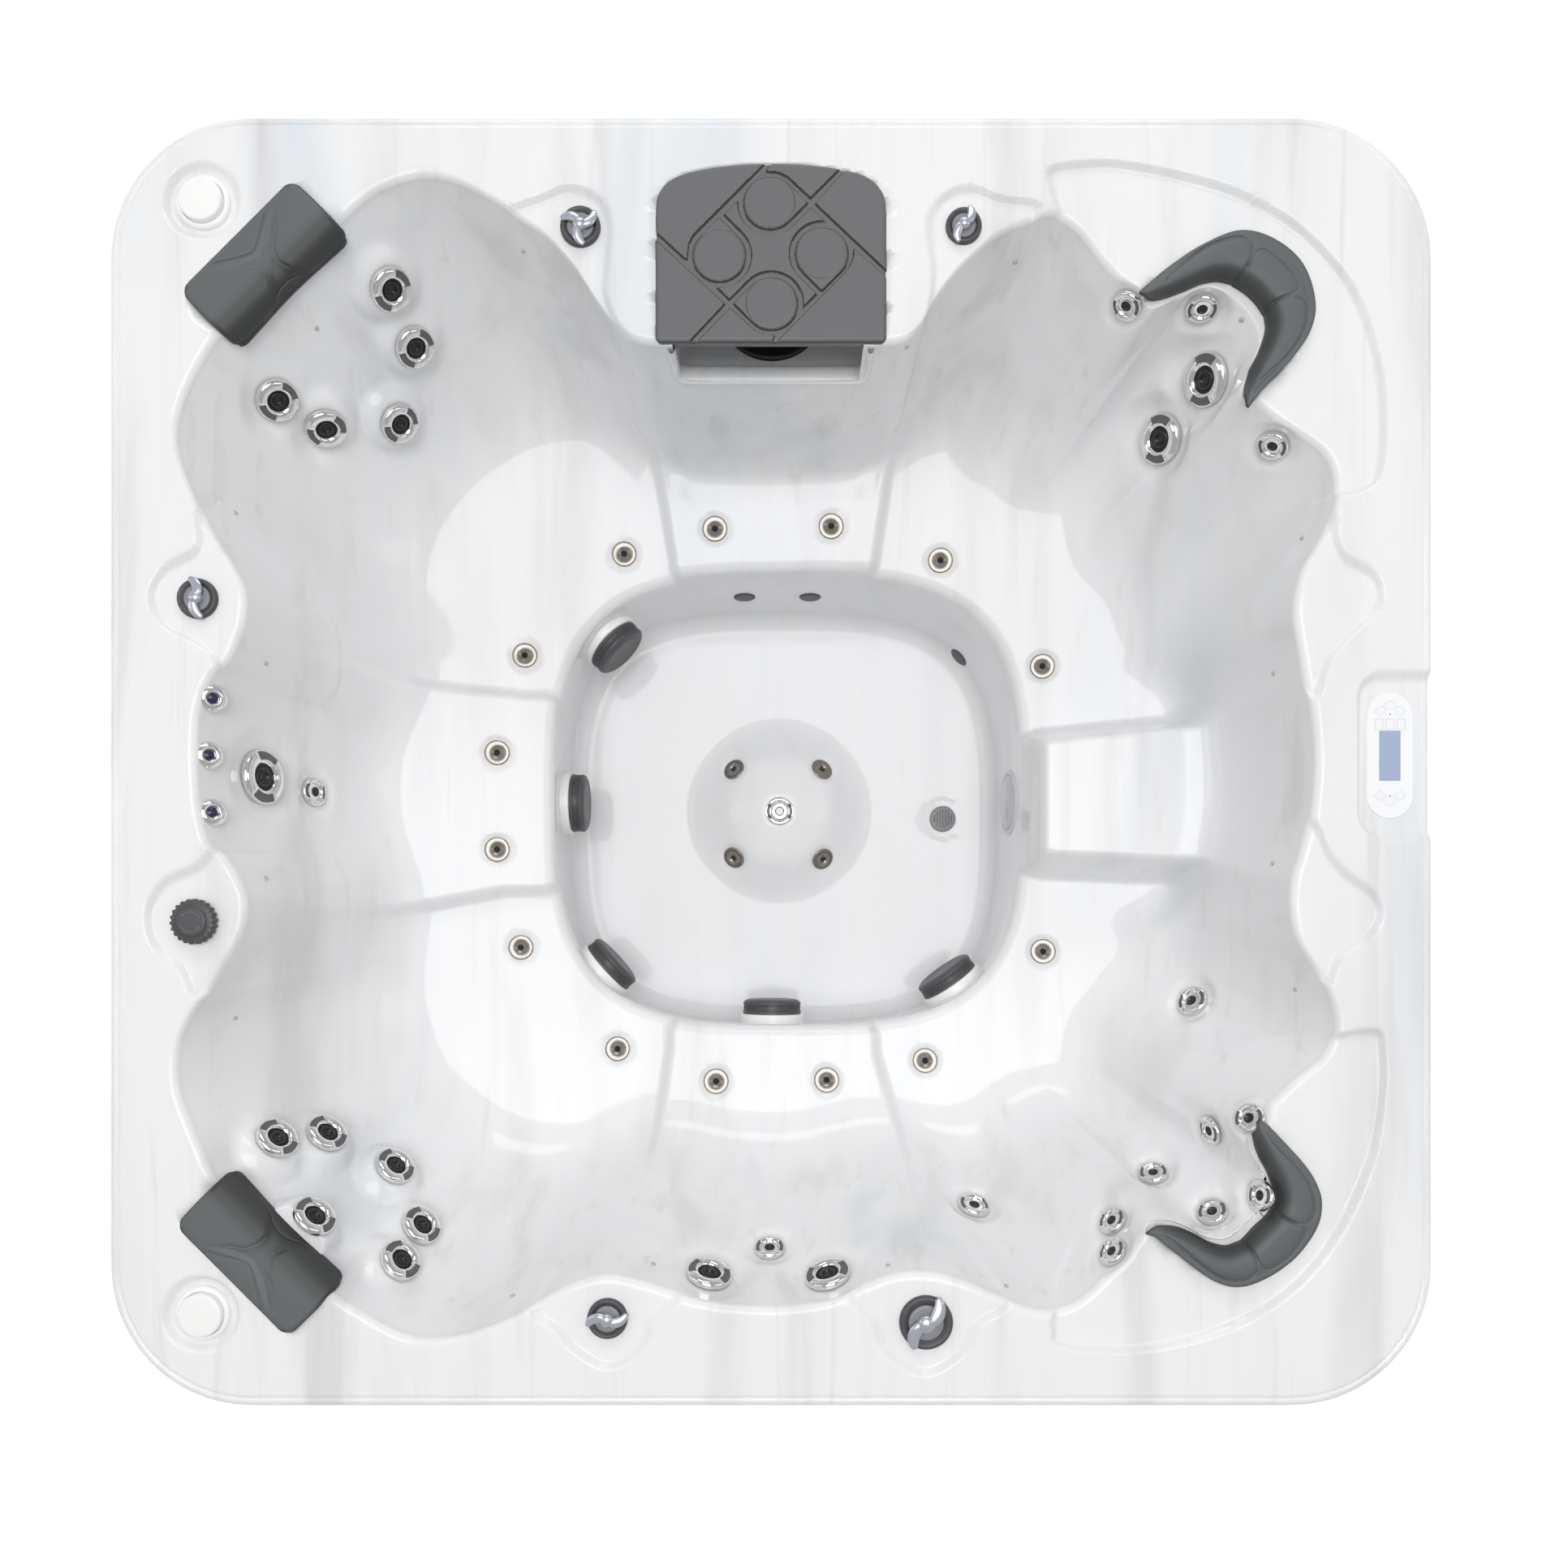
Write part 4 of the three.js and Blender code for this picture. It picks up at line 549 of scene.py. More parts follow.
def signed(outline, x, y):
    """Distance to a closed outline in the plane, negative inside."""
    loop = np.concatenate([outline, outline[:1]])
    inside = np.zeros(x.shape, bool)
    for (ax, ay), (bx, by) in zip(loop, loop[1:]):
        if ay != by:
            inside ^= ((ay > y) != (by > y)) & (x < (bx - ax) * (y - ay) / (by - ay) + ax)
    best = distance_to(loop, x, y)
    return np.where(inside, -best, best)


def rectangle(hx, hy, r, steps=5):
    """A rectangle with round corners, from its half sides."""
    corners = []
    for k, (sx, sy) in enumerate([(1, 1), (-1, 1), (-1, -1), (1, -1)]):
        a = math.tau / 4 * (k + np.arange(steps + 1) / steps)
        corners.append(np.stack([sx * (hx - r) + r * np.cos(a), sy * (hy - r) + r * np.sin(a)], 1))
    return np.concatenate(corners)


def cad_points(node):
    return np.array([v.co for v in frame["nodes"][node].data.vertices], float)


# Shell
def rim_outline(inset, straight=60):
    """The rim's outline at an inset, with many points on its straight sides."""
    outline = rectangle(HALF[0] - inset, HALF[1] - inset, LIP_RADIUS - inset, 24)
    change = np.roll(outline, -1, 0) - outline
    return np.concatenate([outline + change * k / straight for k in range(straight)])


def rounded_square(middle, half):
    """A square with soft bowed sides, in shares of the tub."""
    a = np.linspace(0, math.tau, 720, endpoint=False)
    round_way = np.stack([np.cos(a), np.sin(a)], 1)
    return HALF * (middle + half * (np.sign(round_way) * np.abs(round_way) ** (2 / 3.2)))


def radius_at(outline, angle):
    """How far an outline lies from the middle of the tub in each direction."""
    d = outline - CENTRE
    a, r = np.arctan2(d[:, 1], d[:, 0]), np.hypot(d[:, 0], d[:, 1])
    order = np.argsort(a)
    return np.interp(angle, a[order], r[order], period=math.tau)


def eased(keys, angle):
    """Values round the tub that run smoothly from key to key."""
    degrees = np.degrees(angle) % 360
    k = np.array([d for d, _ in keys] + [keys[0][0] + 360], float)
    v = np.array([s for _, s in keys] + [keys[0][1]], float)
    degrees = np.where(degrees < k[0], degrees + 360, degrees)
    i = np.clip(np.searchsorted(k, degrees, side="right") - 1, 0, len(keys) - 1)
    t = ease((degrees - k[i]) / (k[i + 1] - k[i]))
    return v[i] + (v[i + 1] - v[i]) * t


def deck_depth(x, y):
    """How far the deck's islands, shelves and recesses lie below it."""
    depth = np.zeros_like(x)
    areas = [(line, 0.010, 0.012) for line in ISLANDS] + [(line, 0.011, 0.011) for line in SHELVES]
    for line, deep, width in areas:
        edge = signed(closed_spline(np.array(line) * HALF, 4), x, y)
        depth = np.maximum(depth, deep * ease(0.5 - edge / width))
    # Recess of the control panel, a rectangle with round corners.
    half, corner = (0.112, 0.134), 0.039
    dx, dy = np.abs(x - (HALF[0] - 0.01)) - half[0] + corner, np.abs(y - PANEL[1]) - half[1] + corner
    edge = np.hypot(np.maximum(dx, 0), np.maximum(dy, 0)) + np.minimum(np.maximum(dx, dy), 0) - corner
    depth = np.maximum(depth, 0.010 * ease(0.5 - edge / 0.014))
    for middle in SPEAKERS:
        edge = np.hypot(x - middle[0], y - middle[1]) - 0.060
        depth = np.maximum(depth, SPEAKER_RECESS * ease(0.5 - edge / 0.010))
    return depth


COLUMNS = 960
well_line = closed_spline(np.array(WELL) * HALF, 8)


def column_angles():
    """Steps along the well's edge, closer together where the deck's relief runs across them."""
    loop = np.concatenate([well_line, well_line[:1]])
    length = np.concatenate([[0], np.cumsum(np.hypot(*np.diff(loop, axis=0).T))])
    s = np.linspace(0, length[-1], 4000, endpoint=False)
    x, y = np.interp(s, length, loop[:, 0]), np.interp(s, length, loop[:, 1])
    angle = np.sort(np.arctan2(y - CENTRE[1], x - CENTRE[0]))
    inner, outer = radius_at(well_line, angle), radius_at(rim_outline(0.02), angle)
    t = np.linspace(0, 1, 14)[:, None]
    r = inner * (1 - t) + outer * t
    depth = deck_depth(CENTRE[0] + r * np.cos(angle), CENTRE[1] + r * np.sin(angle))
    change = np.abs(np.roll(depth, -1, 1) - depth).max(0)
    change = sum(np.roll(change, k) for k in range(-10, 11))
    weight = 1 + 2.2 * np.clip(change / 0.006, 0, 1)
    total = np.concatenate([[0], np.cumsum(weight)])
    pick = np.interp(np.linspace(0, total[-1], COLUMNS, endpoint=False), total[:-1], np.arange(len(angle)))
    return np.interp(pick, np.arange(len(angle)), angle)


# Directions of the net's columns, and radii there: edge of the well, crest and floor of the footwell,
# foot of the seat backs, and the softened edge from which the backs fall.
ANGLES = column_angles()
WELL_R = radius_at(well_line, ANGLES)


def softened(values, degrees):
    """Values round the tub, averaged over some degrees to both sides."""
    turn = np.linspace(-math.pi, math.pi, 1440, endpoint=False)
    even = np.interp(turn, ANGLES, values, period=math.tau)
    reach = int(degrees * 4)
    window = np.hanning(2 * reach + 3)[1:-1]
    padded = np.concatenate([even[-reach:], even, even[:reach]])
    return np.interp(ANGLES, turn, np.convolve(padded, window / window.sum(), "valid"), period=math.tau)


SOFT_R = softened(WELL_R, 14)
CREST_R = radius_at(rounded_square(np.array([0.0282, -0.0103]), (0.471, 0.467)), ANGLES)
FLOOR_R = radius_at(rounded_square(np.array([0.0182, -0.0252]), (0.444, 0.437)), ANGLES)
SEAT = FLOOR_DEPTH * eased(SEATS, ANGLES)
FOOT_R = np.minimum(np.maximum(SOFT_R - HALF[0] * eased(LEAN, ANGLES), CREST_R + 0.014), WELL_R - 0.040)
FOOT_R = np.minimum(softened(FOOT_R, 10), WELL_R - 0.026)
SOFTNESS = softened(np.minimum(eased(FILLET, ANGLES) / (WELL_R - 0.004 - FOOT_R), 0.6), 8)
START_R = np.maximum(softened(WELL_R, 6), WELL_R) - 0.004


def seat_depth(radius):
    """How deep the seats lie under one ring, with the raised middles of the sides."""
    x, y = CENTRE[0] + radius * np.cos(ANGLES), CENTRE[1] + radius * np.sin(ANGLES)
    depth = SEAT.copy()
    for line, raised, slope in SIDE_PADS:
        depth -= raised * ease(0.5 - signed(np.array(line), x, y) / slope)
    return depth


def net():
    """Rings of the shell, from under its rim over the deck and down to the middle of the floor."""
    rings, kinds = [], []

    def add(radius, depth, kind):
        x, y = CENTRE[0] + radius * np.cos(ANGLES), CENTRE[1] + radius * np.sin(ANGLES)
        rings.append(np.stack([x, y, DECK - depth * np.ones_like(x)], 1))
        kinds.append(kind)

    def lip(inset):
        return radius_at(rim_outline(inset), ANGLES)

    # The rim from below, its round shoulder and the fine groove inside it, as insets and depths.
    for inset, depth in [(0.09, 0.030), (0.014, 0.030), (0.0125, 0.031), (0.0120, 0.049), (0.011, 0.050),
                         (0.002, 0.050), (0.0004, 0.049), (0.0, 0.047), (0.0, 0.024), (0.0, 0.010)]:
        add(lip(inset), depth, "rim")
    shoulder = 0.010
    for a in quarter(5):
        add(lip(shoulder * (1 - math.cos(a))), shoulder * (1 - math.sin(a)), "rim")
    for inset, depth in [(0.0115, 0.0), (0.0125, 0.0006), (0.0138, 0.0016), (0.0155, 0.0018),
                         (0.0172, 0.0010), (0.019, 0.0)]:
        add(lip(inset), depth, "rim")
    outer, inner = lip(0.022), WELL_R + EDGE + 0.004
    steps = 70
    for k in range(steps + 1):
        add(outer + (inner - outer) * k / steps, 0.0, "deck")
    for a in quarter(8, 7):
        add(WELL_R + EDGE - (EDGE + 0.004) * math.sin(a), EDGE_DROP * (1 - math.cos(a)), "edge")
    steps = 80
    start = WELL_R - 0.004
    def soft(u):
        return (u + np.sqrt(u * u + SOFTNESS ** 2)) / 2

    def fall(radius):
        """Share of the seat's depth that the back has reached at a radius."""
        near, far = [(soft((radius - FOOT_R) / (edge - FOOT_R)) / soft(1.0)) ** 1.7
                     for edge in (start, START_R)]
        return 1 - near - (np.minimum(far, 1) - near) * ease((start - radius) / 0.060)

    def slope(radius):
        """Depth of the back and the seat at a radius."""
        return EDGE_DROP + (seat_depth(radius) - EDGE_DROP) * fall(radius)

    for k in range(steps + 1):
        radius = start - (start - FOOT_R) * (k / steps) ** 1.1
        add(radius, slope(radius), "wall")
    steps = 36
    for k in range(1, steps + 1):
        t = k / steps
        radius = FOOT_R + (CREST_R - FOOT_R) * t
        add(radius, slope(radius) + SEAT_TILT * t * t, "seat")
    top = slope(CREST_R) + SEAT_TILT
    crest = np.maximum(top, FLOOR_DEPTH * 0.585)
    for k, a in enumerate(quarter(8, 7)):
        add(CREST_R - CREST * math.sin(a),
            top + (crest - top) * ease(k / 6) + CREST_DROP * (1 - math.cos(a)), "crest")
    steps = 18
    for k in range(1, steps + 1):
        t = k / steps
        add(CREST_R - CREST + (FLOOR_R + COVE_OUT - CREST_R + CREST) * t,
            crest + CREST_DROP + (FLOOR_DEPTH - COVE_RISE - crest - CREST_DROP) * t, "side")
    for a in quarter(8):
        add(FLOOR_R + COVE_OUT - COVE * (1 - math.cos(a)),
            FLOOR_DEPTH - COVE_RISE * (1 - math.sin(a)), "cove")
    inner = FLOOR_R + COVE_OUT - COVE
    for k in range(1, 11):
        add(inner + (DOME_RADIUS - inner) * k / 10, FLOOR_DEPTH, "floor")
    for k in range(1, 31):
        r = DOME_RADIUS * (1 - min(k / 30, 0.998))
        mound = DOME_RISE * ease(np.float64((DOME_RADIUS - r) / 0.120))
        mound += DOME_CROWN * max(0, 1 - (r / 0.170) ** 2) ** 2
        add(r * np.ones_like(ANGLES), FLOOR_DEPTH - mound, "dome")
    return np.array(rings), kinds


def seen(px, py, lift=0.0):
    """Place over the deck of a point of the photograph, given in its pixels."""
    scale = PIXEL * (1 - lift / EYE_HEIGHT)
    return EYE_OVER[0] + (px - EYE_PIXEL[0]) * scale, EYE_OVER[1] - (py - EYE_PIXEL[1]) * scale


# Outer and inner line of the curved pillows, from the tip on the short side to the tip on the control side.
HORNS = {
    "pillow_ne": (
        np.array([(0.557, 0.729), (0.600, 0.766), (0.650, 0.800), (0.708, 0.823), (0.760, 0.810),
                  (0.803, 0.772), (0.822, 0.715), (0.815, 0.668), (0.785, 0.622), (0.748, 0.583),
                  (0.722, 0.549)]) * HALF,
        np.array([(0.557, 0.725), (0.583, 0.716), (0.619, 0.727), (0.656, 0.742), (0.688, 0.742),
                  (0.726, 0.717), (0.747, 0.680), (0.738, 0.639), (0.722, 0.605), (0.716, 0.575),
                  (0.718, 0.552)]) * HALF),
    "pillow_se": (
        np.array([seen(*q) for q in (
            (1412.4, 1521), (1425, 1525), (1438, 1536), (1455, 1549), (1473, 1563), (1493, 1577),
            (1514, 1585), (1534.7, 1585), (1557, 1577), (1577.7, 1565), (1598.4, 1548), (1615.6, 1526),
            (1625, 1508), (1628.5, 1493), (1628.5, 1477), (1624, 1462), (1615.6, 1446), (1603.5, 1430),
            (1588, 1413), (1571, 1395), (1560, 1384), (1554.5, 1380))]),
        np.array([seen(*q) for q in (
            (1412.4, 1519.5), (1424, 1512), (1436.5, 1511), (1454, 1513), (1473, 1521), (1490, 1530),
            (1509, 1535), (1521, 1532), (1531, 1527), (1545, 1512), (1559, 1499), (1567, 1487),
            (1570, 1474), (1566.5, 1458), (1559.6, 1441), (1552, 1427), (1546, 1410), (1545, 1394),
            (1550, 1382), (1553.5, 1379.5))])),
}
# Their seams, in pixels of the photograph.
HORN_GROOVES = {
    "pillow_ne": [
        [(1440, 341), (1446, 333), (1483, 303), (1513, 290), (1536, 288), (1546, 299), (1543, 316),
         (1531, 335), (1519, 346)],
        [(1541, 323), (1549, 310), (1557, 303), (1569, 307), (1589, 325), (1602, 343), (1600, 355),
         (1581, 363), (1566, 373), (1561, 386)],
        [(1566, 381), (1576, 367), (1594, 361), (1609, 366), (1614, 379), (1609, 404), (1589, 434),
         (1556, 464)]],
    "pillow_se": [
        [(1577, 1496), (1588, 1503), (1598, 1508), (1609.6, 1510), (1618, 1505.5), (1622.5, 1494),
         (1621, 1477), (1614, 1458), (1600, 1439), (1581, 1420), (1569, 1406)],
        [(1581, 1500), (1603.5, 1512), (1611, 1519), (1605, 1532), (1593, 1548), (1576, 1561), (1564, 1566),
         (1557, 1561.5), (1550, 1549), (1540, 1536)],
        [(1535, 1532), (1545, 1544), (1552, 1558), (1550, 1570), (1538, 1579), (1521, 1580), (1504, 1575),
         (1486, 1563), (1466, 1546), (1448.5, 1532), (1438, 1525)]],
}
# The straight pillows: half their length and width, then middle, turn and the side of their seams.
PAD_LENGTH, PAD_WIDTH = 0.1310, 0.0680
PADS = {"pillow_nw": (HALF * (-0.7646, 0.7706), 225, -1), "pillow_sw": (HALF * (-0.7716, -0.7606), 315, 1)}
# Back edge of the filter lid.
LID_BACK = [(-0.1916, 0.905), (-0.1895, 0.934), (-0.1815, 0.9523), (-0.168, 0.9656), (-0.1415, 0.9776),
            (-0.075, 0.9900), (0.0, 0.9936), (0.072, 0.9908), (0.1357, 0.9803), (0.165, 0.9683),
            (0.181, 0.9523), (0.189, 0.935), (0.1916, 0.905)]


def lid_front(x):
    """Front edge of the lid, with its round corners."""
    corner = 0.011
    near = np.maximum(np.abs(x) - (LID_HALF - corner), 0)
    return LID_FRONT - 0.001 + corner - np.sqrt(np.maximum(corner ** 2 - near ** 2, 0))


def lid_back(x):
    line = open_spline(LID_BACK, 200)
    return np.interp(x, line[:, 0], line[:, 1])


def lid_outline():
    x = np.linspace(-LID_HALF, LID_HALF, 60)
    return np.concatenate([np.stack([x, lid_front(x)], 1), np.stack([x, lid_back(x)], 1)[::-1]])


def pad_outline(middle, degrees):
    x, y = np.array([(1, 1.30), (-1, 1.30), (-1, -0.86), (-0.93, -1), (0.93, -1), (1, -0.86)]).T
    turn = np.array(Matrix.Rotation(math.radians(degrees), 2))
    return np.stack([x * PAD_LENGTH, y * PAD_WIDTH], 1) @ turn.T + middle


# Outlines under which the shell sinks: how deep, how far inside it starts, and over what width.
SUNK = [(lid_outline(), 0.020, 0.001, 0.005)]
SUNK += [(pad_outline(middle, degrees), 0.030, 0.002, 0.005) for middle, degrees, _ in PADS.values()]
for rim, lower in HORNS.values():
    wide = open_spline(rim, 40), open_spline(lower, 40)
    across = wide[1] - wide[0]
    across /= np.maximum(np.linalg.norm(across, axis=1, keepdims=True), 0.012)
    SUNK.append((np.concatenate([wide[0], (wide[1] + 0.011 * across)[::-1]]), 0.030, 0.003, 0.005))


def unit(vectors):
    return vectors / np.maximum(np.linalg.norm(vectors, axis=-1, keepdims=True), 1e-12)


def net_normals(grid):
    """Smooth normals of the net, closed round its columns."""
    across = np.roll(grid, -1, 1) - np.roll(grid, 1, 1)
    along = np.empty_like(grid)
    along[1:-1] = grid[2:] - grid[:-2]
    along[0], along[-1] = grid[1] - grid[0], grid[-1] - grid[-2]
    return unit(np.cross(across, along))


def disc_frame(node):
    """Middle and outward axis of a round CAD piece, from the shape of its points."""
    points = np.unique(cad_points(node).round(6), axis=0)
    middle = (points.max(0) + points.min(0)) / 2
    _, _, rows = np.linalg.svd(points - points.mean(0))
    axis = rows[2]
    inward = np.array([*CENTRE, DECK]) - middle
    return middle, axis if axis @ inward > 0 else -axis


JOINTS = {j["child"]: j for j in frame["joints"]}
JETS = {n: (np.array(JOINTS[n]["pos_m"]), np.array(JOINTS[n]["axis"])) for n in frame["nodes"]
        if n.startswith("jet_")}
SUCTIONS = {n: disc_frame(n) for n in frame["nodes"] if n.startswith("suction_cover")}


def turned_radius(node, middle, axis):
    """Largest distance of a round CAD piece's points from its axis."""
    offset = cad_points(node) - middle
    return np.linalg.norm(offset - (offset @ axis)[:, None] * axis, axis=1).max()


def dent(grid, middle, axis, radius, reach, depth):
    """Presses a soft round seat with a flat floor into the net."""
    axis = np.asarray(axis, float)
    offset = grid - middle
    height = offset @ axis
    flat = np.linalg.norm(offset - height[..., None] * axis, axis=2)
    near = (flat < reach) & (np.abs(height) < 0.06)
    weight = ease((reach - flat) / (reach - radius)) * near
    grid += (weight * (-depth - height))[..., None] * axis


def follow(tree, share):
    """Where the eye's line through a place on the deck meets the shell."""
    aim = (Vector((*(HALF * share), DECK)) - EYE).normalized()
    spot, normal, _, _ = tree.ray_cast(EYE, aim)
    if normal.dot(aim) > 0:
        normal = -normal
    return np.array(spot), np.array(normal)


def settled(tree, share, radius):
    """The place seen there with the shell's normal averaged over the piece's face."""
    spot, normal = follow(tree, share)
    total = np.array(normal)
    side = unit(np.cross(normal, (0.3, 0.2, 0.9)))
    other = np.cross(normal, side)
    for k in range(8):
        a = math.tau * k / 8
        start = spot + (side * math.cos(a) + other * math.sin(a)) * radius * 0.9 + normal * radius
        hit, found, _, _ = tree.ray_cast(Vector(start), Vector(-normal))
        if hit:
            found = np.array(found)
            total += found if found @ normal > 0 else -found
    return spot, unit(total)


def press(grid, rows):
    """Keeps the net under the lid and the pillows."""
    for outline, deep, start, width in SUNK:
        d = signed(outline, grid[rows, :, 0], grid[rows, :, 1])
        low = DECK - deep * ease((-d - start) / width) + 2.0 * (d > -start)
        grid[rows, :, 2] = np.minimum(grid[rows, :, 2], low)


# Small fixed jets and point lights by kind: place, the reach over which they settle, and radius.
SMALL_PARTS = {"corner": [(share, radius, radius) for share, radius in CORNER_JETS],
               "neck": [(share, 0.022, 0.0245) for share in NECK_JETS],
               "air": [(share, 0.026, 0.026) for share in AIR_JETS],
               "dome": [(DOME_JET, 0.033, 0.033)],
               "outlet": [(share, 0.020, 0.024) for share in OUTLETS],
               "point": [(share, 0.006, 0.0042) for share in POINTS]}
# Their dents: inner and outer radius in shares of the piece's own, and depth.
DENTS = {"corner": (1.10, 1.90, 0.007), "air": (1.02, 1.45, 0.005), "dome": (1.05, 1.40, 0.003)}


def to_lid_sides(x, y, rows):
    """Moves the net's points by the lid's two sides onto them."""
    outline, reach, out_of_reach = lid_outline(), 0.007, 9.0
    for k in rows:
        distance = np.abs(signed(outline, x[k], y[k]))
        distance += out_of_reach * ((np.abs(x[k]) < 0.15) | (y[k] < 0.68))
        for side in (-1, 1):
            i = np.argmin(distance + out_of_reach * (x[k] * side < 0))
            if distance[i] < reach:
                x[k, i] -= side * signed(outline, x[k, i:i + 1], y[k, i:i + 1])[0]


def over_niche(grid):
    """The cells of the net that the filter niche and its lid's seat take the place of."""
    mx, my, mz = np.moveaxis((grid[:-1] + grid[1:]) / 2, 2, 0)
    cut = (np.abs(mx) < NICHE_HALF + 0.003) & (my > 0.60) & (my < NICHE_BACK + 0.005) & (mz > DECK - 0.114)
    cut |= (signed(lid_outline(), mx, my) < -0.0065) & (my > 0.70) & (mz > DECK - 0.05)
    return cut & np.roll(cut, -1, 1)


def build_shell():
    grid, kinds = net()
    last, count = len(kinds) - 1, grid.shape[1]
    x, y = grid[..., 0], grid[..., 1]
    first_wall, last_wall = kinds.index("wall"), kinds.index("seat") - 1
    # The deck's relief starts inside the rim and fades out down the seat backs.
    fade = np.ones(len(kinds))
    for k in range(first_wall, last_wall + 1):
        fade[k] = 1 - ease((k - first_wall) / (0.35 * (last_wall - first_wall)))
    fade[:8] = 0
    rows = [k for k in range(last_wall + 1) if fade[k] > 0]
    grid[rows, :, 2] -= deck_depth(x[rows], y[rows]) * fade[rows][:, None]
    to_lid_sides(x, y, rows)
    press(grid, rows)
    cap = [tuple(range(last * count, len(kinds) * count))]
    tree = BVHTree.FromPolygons([tuple(p) for p in grid.reshape(-1, 3)], band_faces(len(kinds), count) + cap)
    fixed = {kind: [(*settled(tree, share, reach), radius) for share, reach, radius in places]
             for kind, places in SMALL_PARTS.items()}
    for node, (middle, axis) in JETS.items():
        radius = turned_radius(node, middle, axis)
        dent(grid, middle, axis, radius * 1.10, radius * 1.90, 0.009)
    for kind, (inner, outer, depth) in DENTS.items():
        for spot, normal, radius in fixed[kind]:
            dent(grid, spot, normal, radius * inner, radius * outer, depth)
    drain = np.array([*(HALF * (0.363, -0.0252)), DECK - FLOOR_DEPTH])
    dent(grid, drain, (0, 0, 1), 0.040, 0.058, 0.004)
    press(grid, rows)
    normals = net_normals(grid)
    hidden = over_niche(grid)
    splits = [0, first_wall, last_wall + 1, kinds.index("crest"), last]
    names = ("shell_deck", "shell_backs", "shell_seats", "shell_footwell")
    for name, low, high in zip(names, splits, splits[1:]):
        part = grid[low:high + 1].reshape(-1, 3)
        bend = normals[low:high + 1].reshape(-1, 3)
        cells = zip(band_faces(high - low + 1, count), hidden[low:high].ravel())
        faces = [face for face, out in cells if not out]
        if high == last:
            pole, start = len(part), (high - low) * count
            part = np.concatenate([part, [[*CENTRE, DECK - FLOOR_DEPTH + DOME_RISE + DOME_CROWN]]])
            bend = np.concatenate([bend, [[0, 0, 1]]])
            faces += [(start + i, start + (i + 1) % count, pole) for i in range(count)]
        obj = piece(name, part, faces, [ACRYLIC], normals=bend)
        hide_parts("shell")
    return fixed


FIXED = build_shell()


# Jets
def scalloped(points, faces, radius, flat, start, low, high):
    """Presses a jet's face down to flat at two opposite places, outward of start, which is a closeness and a
    share of the radius, and gives slot 1 to its faces there between the shares low and high."""
    def turned(places):
        """How close places come to the line of the two scallops, and how far out they are."""
        x, y, _ = places.T
        return np.abs(np.cos(np.arctan2(y, x))), np.hypot(x, y) / radius

    side, far = turned(points)
    bite = ease((side - start[0]) / (0.90 - start[0])) * ease((far - start[1]) / 0.10)
    points[:, 2] -= bite * np.maximum(points[:, 2] - flat, 0)
    side, far = turned(points[np.array(faces)].mean(1))
    return np.where((side > 0.85) & (far > low) & (far < high), 1, 0)


def adjustable_jet(r, sides=64):
    """A turned chrome face with two opposite scallops and a black nozzle."""
    profile = [(r, -0.0050), (r, 0.0000), (r * 0.985, 0.0022), (r * 0.94, 0.0044), (r * 0.86, 0.0060),
               (r * 0.75, 0.0068), (r * 0.63, 0.0062), (r * 0.54, 0.0042), (r * 0.495, 0.0012)]
    points, faces, _ = lathe(profile, sides)
    slots = scalloped(points, faces, r, 0.0012, (0.80, 0.60), 0.63, 0.95)
    cup = lathe([(r * 0.495, 0.0012), (r * 0.48, -0.001), (r * 0.43, -0.0035), (r * 0.39, -0.001),
                 (r * 0.36, 0.0008), (r * 0.27, 0.0010), (r * 0.22, -0.002), (r * 0.20, -0.005),
                 (0, -0.005)], 32)
    ring = lathe([(r * 0.24, 0.0012), (r * 0.235, 0.0020), (r * 0.205, 0.0020), (r * 0.20, 0.0)], 32)
    return merged([(points, faces, slots), (*cup[:2], 2), (*ring[:2], 2)])


def dress_jets():
    for number, (node, (middle, axis)) in enumerate(sorted(JETS.items())):
        p, f, s = adjustable_jet(turned_radius(node, middle, axis) * 0.985)
        spin = {"jet_ne_1": -0.6, "jet_ne_2": -0.6}.get(node, 0.15 * math.sin(7.0 * number))
        p = place_on(p, middle, axis, spin)
        obj = piece(f"{node}_face", p, f, [CHROME, SCALLOP, NOZZLE], s, body=node)
        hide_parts(node)


dress_jets()


# Fixed jets by geometry nodes
def scatter_tree():
    """Copies of one part on the points given, turned to their normals and scaled to their radius."""
    tree, given, out = new_tree(
        "set_on_shell", "GeometryNodeTree",
        [("Geometry", "NodeSocketGeometry", None), ("Part", "NodeSocketObject", None),
         ("Size", "NodeSocketFloat", 1.0)],
        [("Geometry", "NodeSocketGeometry")])
    part = add_node(tree, "GeometryNodeObjectInfo", Object=given.outputs["Part"])
    normal = add_node(tree, "GeometryNodeInputNamedAttribute", {"data_type": "FLOAT_VECTOR"}, Name="facing")
    radius = add_node(tree, "GeometryNodeInputNamedAttribute", {"data_type": "FLOAT"}, Name="face_radius")
    turn = add_node(tree, "FunctionNodeAlignRotationToVector", {"axis": "Z"},
                    Vector=normal.outputs["Attribute"])
    size = maths(tree, "MULTIPLY", radius.outputs["Attribute"], given.outputs["Size"])
    copies = add_node(tree, "GeometryNodeInstanceOnPoints", Points=given.outputs["Geometry"],
                      Instance=part.outputs["Geometry"], Rotation=turn.outputs["Rotation"], Scale=size)
    real = add_node(tree, "GeometryNodeRealizeInstances", Geometry=copies.outputs[0])
    tree.links.new(real.outputs[0], out.inputs[0])
    return tree


SCATTER = scatter_tree()


